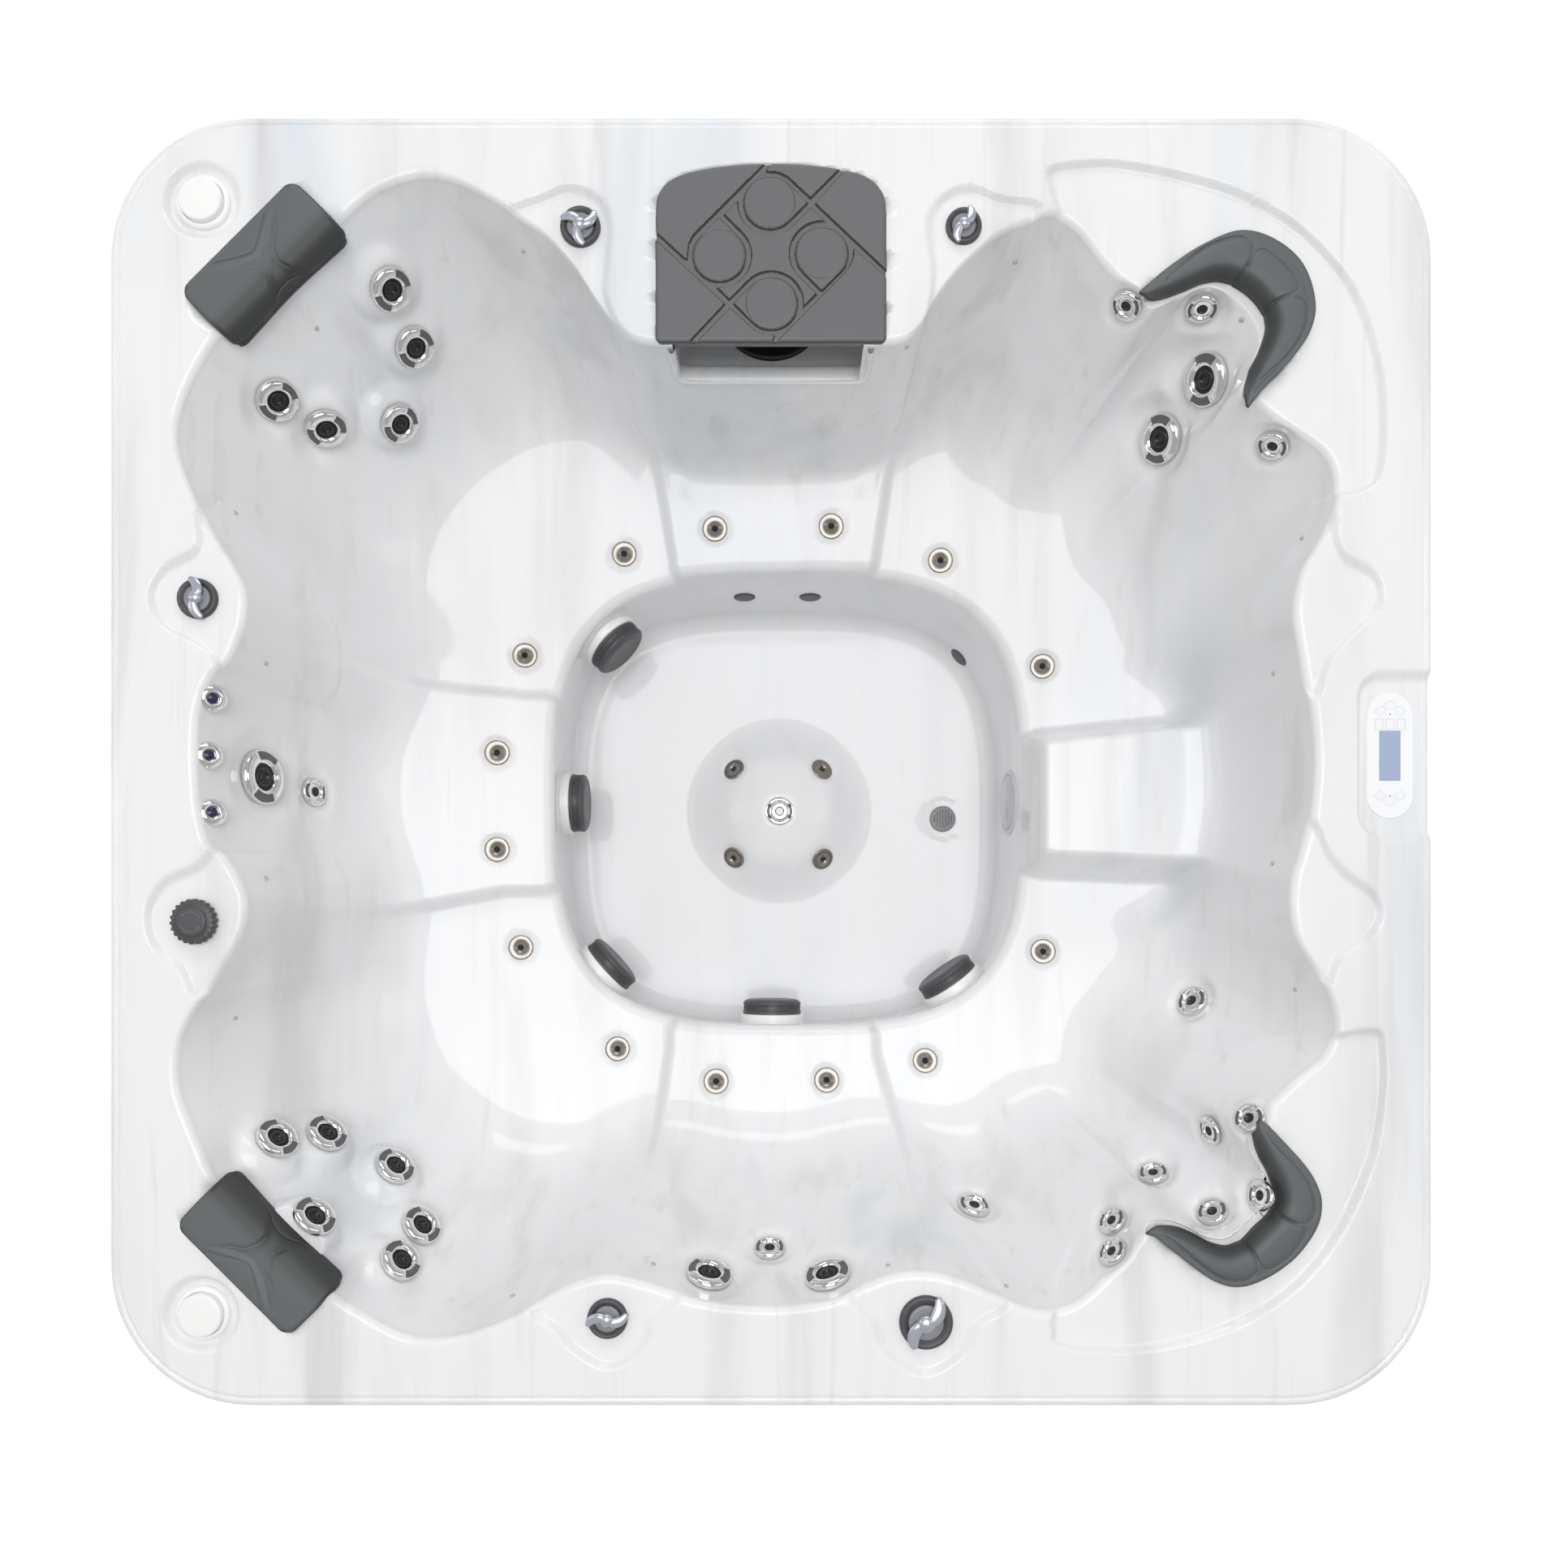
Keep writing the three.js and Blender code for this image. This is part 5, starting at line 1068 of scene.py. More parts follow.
def made_by(tree, name, mesh, inputs):
    """A plain mesh object that a tree makes from a mesh and its inputs."""
    holder = in_scene(f"{name}_holder", mesh)
    modifier = holder.modifiers.new(tree.name, "NODES")
    modifier.node_group = tree
    ids = {s.name: s.identifier for s in tree.interface.items_tree if s.in_out == "INPUT"}
    for key, value in inputs.items():
        modifier[ids[key]] = value
    bpy.context.view_layer.update()
    result = bpy.data.meshes.new_from_object(holder.evaluated_get(bpy.context.evaluated_depsgraph_get()))
    result.name = name
    bpy.data.objects.remove(holder)
    return in_scene(name, result)


def scattered(name, part, places):
    """Real copies of part = (points, faces, slots, materials), modelled at a radius of 1 metre."""
    points, faces, slots, materials = part
    source = piece(f"{name}_part", points, faces, materials, slots, body=None)
    mesh = bpy.data.meshes.new(f"{name}_places")
    mesh.from_pydata([tuple(p) for p, _, _ in places], [], [])
    facing = mesh.attributes.new("facing", "FLOAT_VECTOR", "POINT")
    facing.data.foreach_set("vector", np.array([n for _, n, _ in places], np.float32).ravel())
    radius = mesh.attributes.new("face_radius", "FLOAT", "POINT")
    radius.data.foreach_set("value", np.array([r for _, _, r in places], np.float32))
    obj = made_by(SCATTER, name, mesh, {"Part": source, "Size": 1.0})
    for key in ("facing", "face_radius"):
        if key in obj.data.attributes:
            obj.data.attributes.remove(obj.data.attributes[key])
    bpy.data.objects.remove(source)
    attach(obj, "tub")
    return obj


def small_jet():
    """A small face: chrome ring with scallops, dark cup and a bright nozzle ring."""
    points, faces, _ = lathe([(1.0, -0.16), (1.0, 0.02), (0.97, 0.10), (0.90, 0.16), (0.80, 0.17),
                              (0.68, 0.13), (0.60, 0.04), (0.56, -0.04)], 40)
    slots = scalloped(points, faces, 1.0, 0.03, (0.78, 0.62), 0.66, 0.93)
    cup = lathe([(0.56, -0.04), (0.50, -0.08), (0.34, 0.02), (0.30, 0.0), (0.25, -0.14), (0, -0.14)], 24)
    p, f, s = merged([(points, faces, slots), (cup[0], cup[1], np.where(cup[2] < 2, 0, 2))])
    return p, f, s, [CHROME, SCALLOP, NOZZLE]


def air_jet():
    """A flat chrome disc with a sunk dark middle."""
    p, f, band = lathe([(1.0, -0.10), (1.0, 0.03), (0.95, 0.08), (0.90, 0.09), (0.24, 0.10), (0.23, 0.02),
                        (0.10, 0.02), (0.10, -0.02), (0, -0.02)], 36)
    return p, f, np.where(band >= 4, 1, 0), [SATIN, NOZZLE]


def neck_jet():
    """A domed chrome face with a coloured nozzle in its middle."""
    p, f, band = lathe([(1.0, -0.25), (1.0, 0.05), (0.96, 0.22), (0.86, 0.40), (0.70, 0.54), (0.54, 0.60),
                        (0.44, 0.60), (0.40, 0.52), (0.36, 0.42), (0.30, 0.46), (0.16, 0.54),
                        (0, 0.56)], 40)
    return p, f, np.where(band >= 8, 1, 0), [CHROME, BLUE_NOZZLE]


def outlet():
    p, f, _ = lathe([(1.0, -0.1), (1.0, 0.08), (0.92, 0.14), (0.60, 0.16), (0, 0.16)], 32)
    return p, f, np.zeros(len(f), int), [CHARCOAL]


def pin_light():
    p, f, _ = lathe([(1.0, -0.1), (1.0, 0.2), (0.8, 0.6), (0.4, 0.8), (0, 0.85)], 12)
    return p, f, np.zeros(len(f), int), [PIN_LIGHT]


scattered("corner_jets", small_jet(), FIXED["corner"])
scattered("dome_jet", small_jet(), FIXED["dome"])
# The neck jets look half way up.
turned_up = [(p, Vector(n) * 0.55 + Vector((0, 0, 0.55)), r) for p, n, r in FIXED["neck"]]
scattered("neck_jets", neck_jet(), turned_up)
scattered("air_jets", air_jet(), [(p - n * 0.0035, n, r) for p, n, r in FIXED["air"]])
scattered("wall_outlets", outlet(), FIXED["outlet"])
scattered("pin_lights", pin_light(), FIXED["point"])


# Suction covers, lens, drain
def foot_and_height(node, middle, axis):
    """The lowest place of a round piece on its axis, and how tall the piece is."""
    height = (cad_points(node) - middle) @ axis
    return middle + axis * height.min(), height.max() - height.min()


def dress_suctions():
    for node, (middle, axis) in SUCTIONS.items():
        base, tall = foot_and_height(node, middle, axis)
        wide = turned_radius(node, middle, axis)
        ring = lathe([(wide, 0.0), (wide, tall - 0.0345), (wide - 0.0010, tall - 0.0330),
                      (wide - 0.0075, tall - 0.0325)], 72)
        side = wide - 0.0070
        cover = lathe([(side, tall - 0.0330), (side + 0.0005, tall - 0.030), (side + 0.0005, tall - 0.0265),
                       (side - 0.0008, tall - 0.0262), (side - 0.0008, tall - 0.0118),
                       (side + 0.0003, tall - 0.0112), (side, tall - 0.0075),
                       (side - 0.0030, tall - 0.0035), (side - 0.0080, tall - 0.0010),
                       (side - 0.0130, tall), (side - 0.0150, tall - 0.0016), (side - 0.0170, tall),
                       (side - 0.0200, tall - 0.0004), (side - 0.034, tall - 0.0012),
                       (0, tall - 0.0012)], 72)
        p, f, s = merged([(*ring[:2], 0), (*cover[:2], 1)])
        obj = piece(f"{node}_body", place_on(p, base, axis), f, [SATIN_WHITE, CHARCOAL], s)
        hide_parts(node)
        # Three rows of holes round the side and six rings of them on the face, each drawn as a small black
        # disc of painted shade.
        pits = []
        for row in range(3):
            for i in range(64):
                a = math.tau * (i + 0.5 * (row % 2)) / 64
                out = np.array([math.cos(a), math.sin(a), 0.0])
                pits.append((out * (side - 0.0007) + (0, 0, tall - 0.0235 + row * 0.0046), out))
        for k in range(6):
            r, n = 0.0125 + 0.0054 * k, 14 + 6 * k
            for i in range(n):
                a = math.tau * i / n
                lift = tall - 0.0010 - 0.0008 * ease(np.float64((0.034 - r) / 0.01))
                pits.append((np.array([r * math.cos(a), r * math.sin(a), lift]), np.array([0, 0, 1.0])))
        turn = place_on(np.array([n for _, n in pits]), (0, 0, 0), axis)
        spots = place_on(np.array([q for q, _ in pits]), base, axis)
        hole = lathe([(1.0, 0.06), (0, 0.07)], 6)
        scattered(f"{node}_holes", (hole[0], hole[1], np.zeros(len(hole[1]), int), [NOZZLE]),
                  [(q, n, 0.0018) for q, n in zip(spots, turn)])


def dress_lens():
    middle, axis = disc_frame("light_lens")
    base, _ = foot_and_height("light_lens", middle, axis)
    ring = lathe([(0.0715, 0.0), (0.0715, 0.0085), (0.070, 0.0105), (0.064, 0.0115), (0.060, 0.0105),
                  (0.060, 0.006)], 64)
    glass = lathe([(0.060, 0.006), (0.059, 0.0125), (0.052, 0.0160), (0.036, 0.0182), (0, 0.0190)], 64)
    back = lathe([(0.060, 0.0052), (0, 0.0052)], 64)
    p, f, s = merged([(*ring[:2], 0), (*glass[:2], 1), (*back[:2], 0)])
    obj = piece("light_lens_body", place_on(p, base, axis), f, [LENS_RIM, CLEAR], s)
    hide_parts("light_lens")


def dress_drain():
    low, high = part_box("drain_cover")
    middle = (low + high) / 2
    top = high.z
    p, f, _ = lathe([(0.0308, -0.0046), (0.0308, 0.0), (0.0300, 0.0014), (0.0275, 0.0020), (0, 0.0020)], 56)
    obj = piece("drain_cover_body", p + (middle.x, middle.y, top - 0.0020), f,
                [grained("drain_grey", srgb(128, 128, 132), 0.4)])
    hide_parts("drain_cover")
    # The slots are dark strips of painted shade laid on the cover's face.
    slots = []
    for k in range(-3, 4):
        x = k * 0.0066
        reach = math.sqrt(max(0.0215 ** 2 - x * x, 0))
        line = [(x + 0.0016 * math.sin(t * 9.0 + 0.6), t * reach) for t in np.linspace(-1, 1, 15)]
        slots.append(ribbon([(middle.x + u, middle.y + v, top + 0.0001) for u, v in line], 0.0024))
    p, f, s = merged([(a, b, 0) for a, b in slots])
    holes = piece("drain_slots", p, f, [NOZZLE], s)


def ribbon(line, width):
    """A flat strip along a line that lies level, facing up."""
    line = np.asarray(line, float)
    ahead = np.gradient(line, axis=0)
    side = unit(np.stack([-ahead[:, 1], ahead[:, 0], np.zeros(len(line))], 1))
    points = np.concatenate([line - side * width / 2, line + side * width / 2])
    return points, band_faces(2, len(line), closed=False)


dress_suctions()
dress_lens()
dress_drain()


# Knobs, cap, speakers
def handle(radius, lobes, height):
    """A swept handle: curved blades that taper from the hub to their tips."""
    parts, n, sides = [], 22, 12
    t = np.linspace(0, 1, n)
    reach = radius * (0.02 + 0.98 * t)
    width = radius * (0.17 + 0.12 * np.sin(np.clip(t * 2.2, 0, math.pi)) - 0.16 * t ** 3)
    tall = height * (1 - 0.55 * t ** 2)
    for k in range(lobes):
        bend = math.tau * k / lobes + 0.95 * t ** 1.1
        middle = np.stack([reach * np.cos(bend), reach * np.sin(bend), np.zeros(n)], 1)
        ahead = unit(np.gradient(middle, axis=0))
        side = np.stack([-ahead[:, 1], ahead[:, 0], np.zeros(n)], 1)
        rings = []
        for i in range(n):
            for a in math.tau * np.arange(sides) / sides:
                lift = np.array([0, 0, (math.sin(a) * 0.5 + 0.5) * tall[i]])
                rings.append(middle[i] + side[i] * math.cos(a) * width[i] + lift)
        faces = [face[::-1] for face in band_faces(n, sides)]
        ends = [tuple(range(sides)), tuple(reversed(range((n - 1) * sides, n * sides)))]
        parts.append((np.array(rings), faces + ends, 0))
    return parts


def dress_knobs():
    # Blades, radius of the ring and turn of each.
    kinds = {"air_knob_1": (3, 0.0335, 1.9), "air_knob_2": (2, 0.030, 0.35), "air_knob_3": (2, 0.0335, 0.95),
             "air_knob_4": (2, 0.0335, -0.65), "diverter_knob": (2, 0.0447, 0.20)}
    island = DECK - 0.008
    for node, (lobes, r, spin) in kinds.items():
        x, y, _ = JOINTS[node]["pos_m"]
        ring = lathe([(r, -0.004), (r, 0.003), (r * 0.96, 0.0062), (r * 0.88, 0.0070), (r * 0.80, 0.0060),
                      (r * 0.70, 0.0022), (r * 0.66, 0.0016)], 64)
        inner = lathe([(r * 0.66, 0.0016), (r * 0.655, 0.0045), (r * 0.60, 0.0056), (r * 0.50, 0.0052),
                       (0, 0.0052)], 64)
        p, f, s = merged([(*ring[:2], 0), (*inner[:2], 1)])
        base = piece(f"{node}_ring", p + (x, y, island), f, [DARK_RING, MID_RING], s)
        blades = handle(r * (0.98 if lobes == 3 else 1.02), lobes, 0.0095)
        hub = lathe([(r * 0.34, 0.0), (r * 0.34, 0.0055), (r * 0.30, 0.0085), (r * 0.16, 0.0112),
                     (0, 0.012)], 40)
        p, f, s = merged(blades + [(*hub[:2], 0)])
        turn = np.array(Matrix.Rotation(spin, 3, "Z"))
        obj = piece(f"{node}_handle", p @ turn.T + (x, y, island + 0.0054), f, [SILVER], s, body=node)
        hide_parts(node)


def dress_cap():
    """A toothed cap with two arrows that turn round its middle."""
    x, y, _ = JOINTS["air_valve_cap"]["pos_m"]
    teeth, mark = 22, 0.01625
    n = teeth * 8
    a = np.arange(n) * math.tau / n
    outer = 0.0352 + 0.0028 * ease(0.5 + 1.6 * np.sin(a * teeth))
    rows = [(outer, 0.0004), (outer, 0.009), (outer - 0.001, 0.0112), (0.0330, 0.0122), (0.0250, 0.0126),
            (0.0242, 0.0148), (0.0232, 0.0158), (0.0205, 0.0160), (0.0001, 0.0160)]
    points = np.concatenate([np.stack([r * np.cos(a), r * np.sin(a), np.full(n, z)], 1) for r, z in rows])
    parts = [(points, band_faces(len(rows), n), 0)]
    for turn in (0.4, 0.4 + math.pi):
        arc = [(0.0165 * math.cos(a), 0.0165 * math.sin(a), mark) for a in turn + np.linspace(0, 2.0, 24)]
        parts.append((*ribbon(arc, 0.0013), 1))
        tip = turn + 2.0
        head = [(r * math.cos(tip + t), r * math.sin(tip + t), mark) for r, t in
                ((0.0135, 0.0), (0.0195, 0.0), (0.0165, 0.28))]
        parts.append((np.array(head), [(0, 1, 2)], 1))
    p, f, s = merged(parts)
    obj = piece("air_valve_cap_body", p + (x, y, DECK - 0.006), f,
                [CHARCOAL, grained("cap_mark", srgb(104, 103, 108), 0.5)], s, body="air_valve_cap")
    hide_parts("air_valve_cap")


def dress_speakers():
    seat = DECK - SPEAKER_RECESS
    for k, (x, y) in enumerate(SPEAKERS, 1):
        p, f, _ = lathe([(0.0452, 0.0), (0.0452, 0.0050), (0.0440, 0.0072), (0.0415, 0.0086),
                         (0.0385, 0.0088), (0.0374, 0.0080), (0.0372, 0.0)], 72)
        obj = piece(f"speaker_can_{k}_bezel", p + (x, y, seat), f, [SATIN_WHITE])
        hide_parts(f"speaker_can_{k}")
        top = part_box(f"speaker_popup_{k}")[1].z - DECK
        p, f, _ = lathe([(0.0364, top - 0.060), (0.0364, top - 0.0030), (0.0356, top - 0.0010),
                         (0.0335, top - 0.0002), (0.030, top), (0, top)], 72)
        obj = piece(f"speaker_popup_{k}_disc", p + (x, y, DECK), f, [SATIN_WHITE], body=f"speaker_popup_{k}")
        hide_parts(f"speaker_popup_{k}")


dress_knobs()
dress_cap()
dress_speakers()


# Control panel
def stadium(half_width, half_length, steps=24):
    r = half_width
    a = np.linspace(0, math.pi, steps)
    top = np.stack([r * np.cos(a), half_length - r + r * np.sin(a)], 1)
    return np.concatenate([top, -top])


def plate(outline, low, high, bevel=0.0008):
    """A flat solid plate with a small rounded edge, from a convex outline."""
    outline = np.asarray(outline, float)
    n = len(outline)
    inner = outline * (1 - bevel / np.abs(outline).max(0))
    rows = [(outline, low), (outline, high - bevel), (inner, high)]
    points = np.concatenate([np.column_stack([o, np.full(n, z)]) for o, z in rows])
    return points, band_faces(len(rows), n) + [tuple(range(2 * n, 3 * n))]


def outline_ring(outline, width, z):
    """A thin raised line round an outline."""
    outline = np.asarray(outline, float)
    n = len(outline)
    inner = outline * (1 - width / np.abs(outline).max(0))
    points = np.concatenate([np.column_stack([line, np.full(n, z)]) for line in (outline, inner)])
    return points, band_faces(2, n)


def dress_panel():
    x, y = PANEL
    top = DECK - 0.0085
    parts = [(*plate(stadium(0.0388, 0.1048), -0.012, 0.0), 0)]
    display = plate(rectangle(0.0178, 0.0418, 0.001), 0.0, 0.0004, 0.0002)
    parts.append((display[0] + (-0.0005, 0.0, 0.0001), display[1], 1))
    for u in (-0.0185, 0.0, 0.0185):
        ring = outline_ring(rectangle(0.0070, 0.0092, 0.0012), 0.0009, 0.0003)
        parts.append((ring[0] + (u, 0.0525, 0), ring[1], 2))
    for sign, middle in ((1, 0.0790), (-1, -0.0705)):
        for k in (-1, 0, 1):
            fan = outline_ring(np.array([(0.0058, -0.006), (0.0085, 0.006), (0.0, 0.0085), (-0.0085, 0.006),
                                         (-0.0058, -0.006), (0.0, -0.0048)]), 0.0009, 0.0003)
            turn = np.array(Matrix.Rotation(-0.55 * k * sign + (0 if sign > 0 else math.pi), 3, "Z"))
            spot = (0.0158 * k, middle + sign * (0.004 if k == 0 else -0.005), 0)
            parts.append((fan[0] @ turn.T + spot, fan[1], 2))
    for v in (0.0690, -0.0672):
        dot = lathe([(0.0012, 0.0), (0.0009, 0.0006), (0, 0.0008)], 12)
        parts.append((dot[0] + (0, v, 0), dot[1], 3))
    p, f, s = merged(parts)
    lamp = grained("led_dot", srgb(90, 88, 100), 0.3)
    obj = piece("control_panel_body", p + (x, y, top), f, [PANEL_WHITE, DISPLAY, KEY_LINE, lamp], s,
                smooth=False)
    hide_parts("control_panel")


dress_panel()


# Pillows
def to_line(points, x, y, steps=60):
    """Distance of places to an open curve through the points."""
    return distance_to(open_spline(points, steps), x, y)


# Share of the roll-down over the share of the width, from the outer to the inner edge.
ROLL = [(0, 0.04), (0.06, 0), (0.45, 0), (0.58, 0.04), (0.68, 0.13), (0.78, 0.32), (0.88, 0.60),
        (0.95, 0.83), (1, 1)]
# Seams of a straight pillow, in shares of its half length and half width, inner side positive.
PAD_SEAMS = [
    ([(-0.50, -0.93), (-0.34, -0.75), (-0.17, -0.54), (0, -0.42), (0.17, -0.54), (0.34, -0.75),
      (0.50, -0.93)],
     1.0),
    ([(-0.36, 1.0), (-0.15, 0.745), (0, 0.69), (0.15, 0.745), (0.36, 1.0)], 0.8),
    ([(-0.36, -0.44), (-0.30, -0.35), (-0.19, -0.2), (-0.115, 0.07), (-0.10, 0.33)], 0.8),
    ([(0.42, -0.40), (0.36, -0.33), (0.257, -0.2), (0.16, 0.14), (0.20, 0.535)], 0.8),
]


def rolled(t):
    line = open_spline(ROLL, 120)
    return np.interp(t, line[:, 0], line[:, 1])


def foam(node, top, roll, base, flip):
    """A cushion from the rows of its crowned upper face, closed by sides and a flat base in its pocket."""
    n, m = top.shape[:2]
    points = top.reshape(-1, 3)
    faces = sheet_faces(n, m)
    low = np.concatenate([top[:, 0], top[:, -1]])
    low[:, 2] = DECK + base
    a, b = len(points), len(points) + n
    for i in range(n - 1):
        faces += [(i * m, a + i, a + i + 1, (i + 1) * m), (a + i, b + i, b + i + 1, a + i + 1),
                  (b + i, i * m + m - 1, (i + 1) * m + m - 1, b + i + 1)]
    faces += [(*range(m), b, a), (*range(n * m - 1, (n - 1) * m - 1, -1), a + n - 1, b + n - 1)]
    if flip:
        faces = [f[::-1] for f in faces]
    obj = piece(f"{node}_foam", np.concatenate([points, low]), faces, [SLATE])
    # Painted shade per point, read by the pillow material: the given roll on the top face and full shade on
    # the sides and base.
    shade = obj.data.attributes.new("roll", "FLOAT", "POINT")
    shade.data.foreach_set("value", np.concatenate([roll.ravel(), np.ones(2 * n)]).astype(np.float32))
    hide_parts(node)


def under_eye(flat, z):
    """Where places of the photograph, measured at the height of the deck, lie at another height over it."""
    return EYE_OVER + (flat - EYE_OVER) * (1 - z[..., None] / EYE_HEIGHT)


def pad_pillow(node, middle, degrees, side):
    """A rounded rectangle of foam: flat outer half, rolled inner half, hollow waist and four bowed seams."""
    n, m = ((236, 124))
    u, v = np.meshgrid(np.linspace(-1, 1, n), np.linspace(-1, 1, m), indexing="ij")
    k = np.maximum(np.maximum(np.abs(u), np.abs(v)), 1e-6)
    ends, sides, round_off = PAD_LENGTH * u / k, PAD_WIDTH * v / k, 0.019
    core = (np.clip(ends, round_off - PAD_LENGTH, PAD_LENGTH - round_off),
            np.clip(sides, round_off - PAD_WIDTH, PAD_WIDTH - round_off))
    far = np.hypot(ends - core[0], sides - core[1])
    x = k * (core[0] + round_off * (ends - core[0]) / far)
    y = k * (core[1] + round_off * (sides - core[1]) / far)
    x += 0.0025 * u * (1 - v * v)
    y -= 0.0025 * np.cos(u * math.pi) * np.clip(v, 0, 1)
    a, b = side * x / PAD_LENGTH, y / PAD_WIDTH
    left = np.interp(b, (-0.93, -0.385, -0.2, 0.07, 0.33, 1), (-0.62, -0.33, -0.19, -0.115, -0.10, -0.30))
    right = np.interp(b, (-0.93, -0.355, -0.2, 0.14, 0.535, 1), (0.64, 0.39, 0.257, 0.16, 0.20, 0.36))
    outer = -0.42 - 0.9 * np.abs(a) ** 1.15
    waist = ease((a - left) / 0.16 + 0.3) * ease((right - a) / 0.16 + 0.3) * ease((b - outer) / 0.22)
    z = 0.0085 - 0.030 * rolled((b + 1) / 2) - 0.0038 * waist - 0.0012 * np.abs(a) ** 3
    for line, strength in PAD_SEAMS:
        d = to_line(np.array(line) * (PAD_LENGTH * side, PAD_WIDTH), x, y)
        z -= strength * (dip(d, 0.0019, 0.0013) + dip(d, 0.0006, 0.0060))
    near = np.minimum((1 - np.abs(u)) * PAD_LENGTH, (1 - np.abs(v)) * PAD_WIDTH)
    z = np.maximum(z - edge_drop(near, 0.0068, 0.007), -0.0270)
    turn = np.array(Matrix.Rotation(math.radians(degrees), 3, "Z"))
    top = np.stack([x, y, z], 2) @ turn.T + (*middle, DECK)
    top[..., :2] = under_eye(top[..., :2], z)
    # Painted shade: darker over the rolled inner half, with a painted contact shadow along the edges.
    foam(node, top, np.maximum(ease((b + 0.25) / 0.9), 0.8 * (1 - ease(near / 0.004))), -0.0330, False)


def horn_pillow(node):
    """A curved horn: flat flange outside, three padded panels with grooved seams, steep roll to the well."""
    n, m = ((300, 76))
    outer, inner = (open_spline(line, n) for line in HORNS[node])
    t = np.linspace(0, 1, m)[None, :]
    flat = outer[:, None, :] * (1 - t[..., None]) + inner[:, None, :] * t[..., None]
    wide = np.linalg.norm(outer - inner, axis=1)[:, None]
    full = ease(np.minimum(wide / 0.062, 1)) * 0.85 + 0.15 * np.minimum(wide / 0.062, 1)
    flange = ease((t * wide - 0.0085) / 0.016)
    z = 0.0045 + (0.0055 * flange * np.sin(np.clip(t * 2.0, 0, 1) * math.pi / 2) - 0.032 * rolled(t)) * full
    x, y = flat[..., 0], flat[..., 1]
    for line in HORN_GROOVES[node]:
        d = to_line([seen(*q, 0.010) for q in line], x, y, 90)
        z -= (dip(d, 0.0026, 0.0016) + dip(d, 0.0008, 0.0050)) * full
    near = np.minimum(t, 1 - t) * wide
    z = np.maximum(z - edge_drop(near, 0.0035, 0.004), -0.0275)
    flat = under_eye(flat, z)
    top = np.concatenate([flat, (DECK + z)[..., None]], 2)
    middle = n // 2
    along, across = outer[middle + 1] - outer[middle], inner[middle] - outer[middle]
    # Painted shade: darker towards the inner edge, with a painted contact shadow along the edges.
    roll = np.maximum(0.7 * ease((t - 0.3) / 0.7) * full, 0.8 * (1 - ease(near / 0.004)))
    flip = along[0] * across[1] - along[1] * across[0] < 0
    foam(node, top, roll, np.tile(-0.003 - 0.0300 * full[:, 0], 2), flip)


for node, (middle, degrees, side) in PADS.items():
    pad_pillow(node, middle, degrees, side)
for node in HORNS:
    horn_pillow(node)


# Filter lid, niche, cartridge
# The lid's pattern lies on a fine grid that runs right and down: its step in metres, and the lid's middle
# on the grid and on the tub.
LID_STEP = 0.0002665
GRID_MIDDLE, LID_MIDDLE = (781, 622), (-0.0008, 0.8425)
# Middles of the round cup places and the way to their square corner, then their radius, the channel round
# them and how far inside their edge the engraved ring runs.
CUPS = [(778, 305, 1, 0), (1100, 620, 0, 1), (785, 932, -1, 0), (462, 632, 0, -1)]
CUP_RADIUS, CUP_CHANNEL, CUP_RING = 165, 37, 9
LID_PANELS = [
    [(725, 80), (300, 505), (272, 560), (262, 655), (250, 655), (70, 490), (-120, 316), (-120, -120),
     (925, -120)],
    [(770, 80), (755, 110), (830, 115), (890, 145), (1030, 275), (1190, 115), (1400, -95), (945, -95)],
    [(1225, 125), (1060, 310), (1490, 715), (1700, 912), (1700, -120), (1470, -120)],
    [(1300, 590), (1310, 600), (1490, 755), (1700, 936), (1700, 1400), (590, 1400), (835, 1155),
     (1240, 745), (1275, 700), (1298, 640)],
    [(330, 1165), (530, 960), (690, 1105), (740, 1125), (805, 1130), (795, 1160), (770, 1400), (95, 1400)],
    [(70, 540), (495, 935), (275, 1170), (60, 1400), (-120, 1400), (-120, 363)],
]


def on_lid(x, y):
    """A place of the tub on the grid of the lid's pattern."""
    return (GRID_MIDDLE[0] + (x - LID_MIDDLE[0]) / LID_STEP, GRID_MIDDLE[1] - (y - LID_MIDDLE[1]) / LID_STEP)


def cup_outline(cx, cy, dx, dy, steps=40):
    """A round cup place with one square corner."""
    middle = math.atan2(dy, dx)
    a = middle + np.linspace(math.tau / 8, math.tau * 7 / 8, steps)
    arc = np.stack([cx + CUP_RADIUS * np.cos(a), cy + CUP_RADIUS * np.sin(a)], 1)
    reach = CUP_RADIUS * math.sqrt(2)
    return np.concatenate([arc, [[cx + reach * dx, cy + reach * dy]]])


def lid_relief(x, y):
    """Distances to the nearest raised face of the lid's pattern, negative on it, and to the rings."""
    x, y = on_lid(x, y)
    nearest = np.minimum.reduce([signed(cup_outline(*cup), x, y) for cup in CUPS])
    # The raised square between the cups, on its corner.
    star = np.maximum.reduce([870 - x - y, x + y - 1938, -382 - x + y, x - y - 698]) / math.sqrt(2)
    raised = np.minimum(nearest, np.maximum(star, CUP_CHANNEL - nearest))
    for panel in LID_PANELS:
        raised = np.minimum(raised, signed(np.array(panel, float), x, y))
    rings = [np.abs(np.hypot(x - cx, y - cy) - CUP_RADIUS + CUP_RING) for cx, cy, _, _ in CUPS]
    return raised * LID_STEP, np.minimum.reduce(rings) * LID_STEP


def cell_middles(sheet):
    """Means of a sheet's values over each of its cells."""
    return (sheet[:-1, :-1] + sheet[1:, :-1] + sheet[:-1, 1:] + sheet[1:, 1:]) / 4


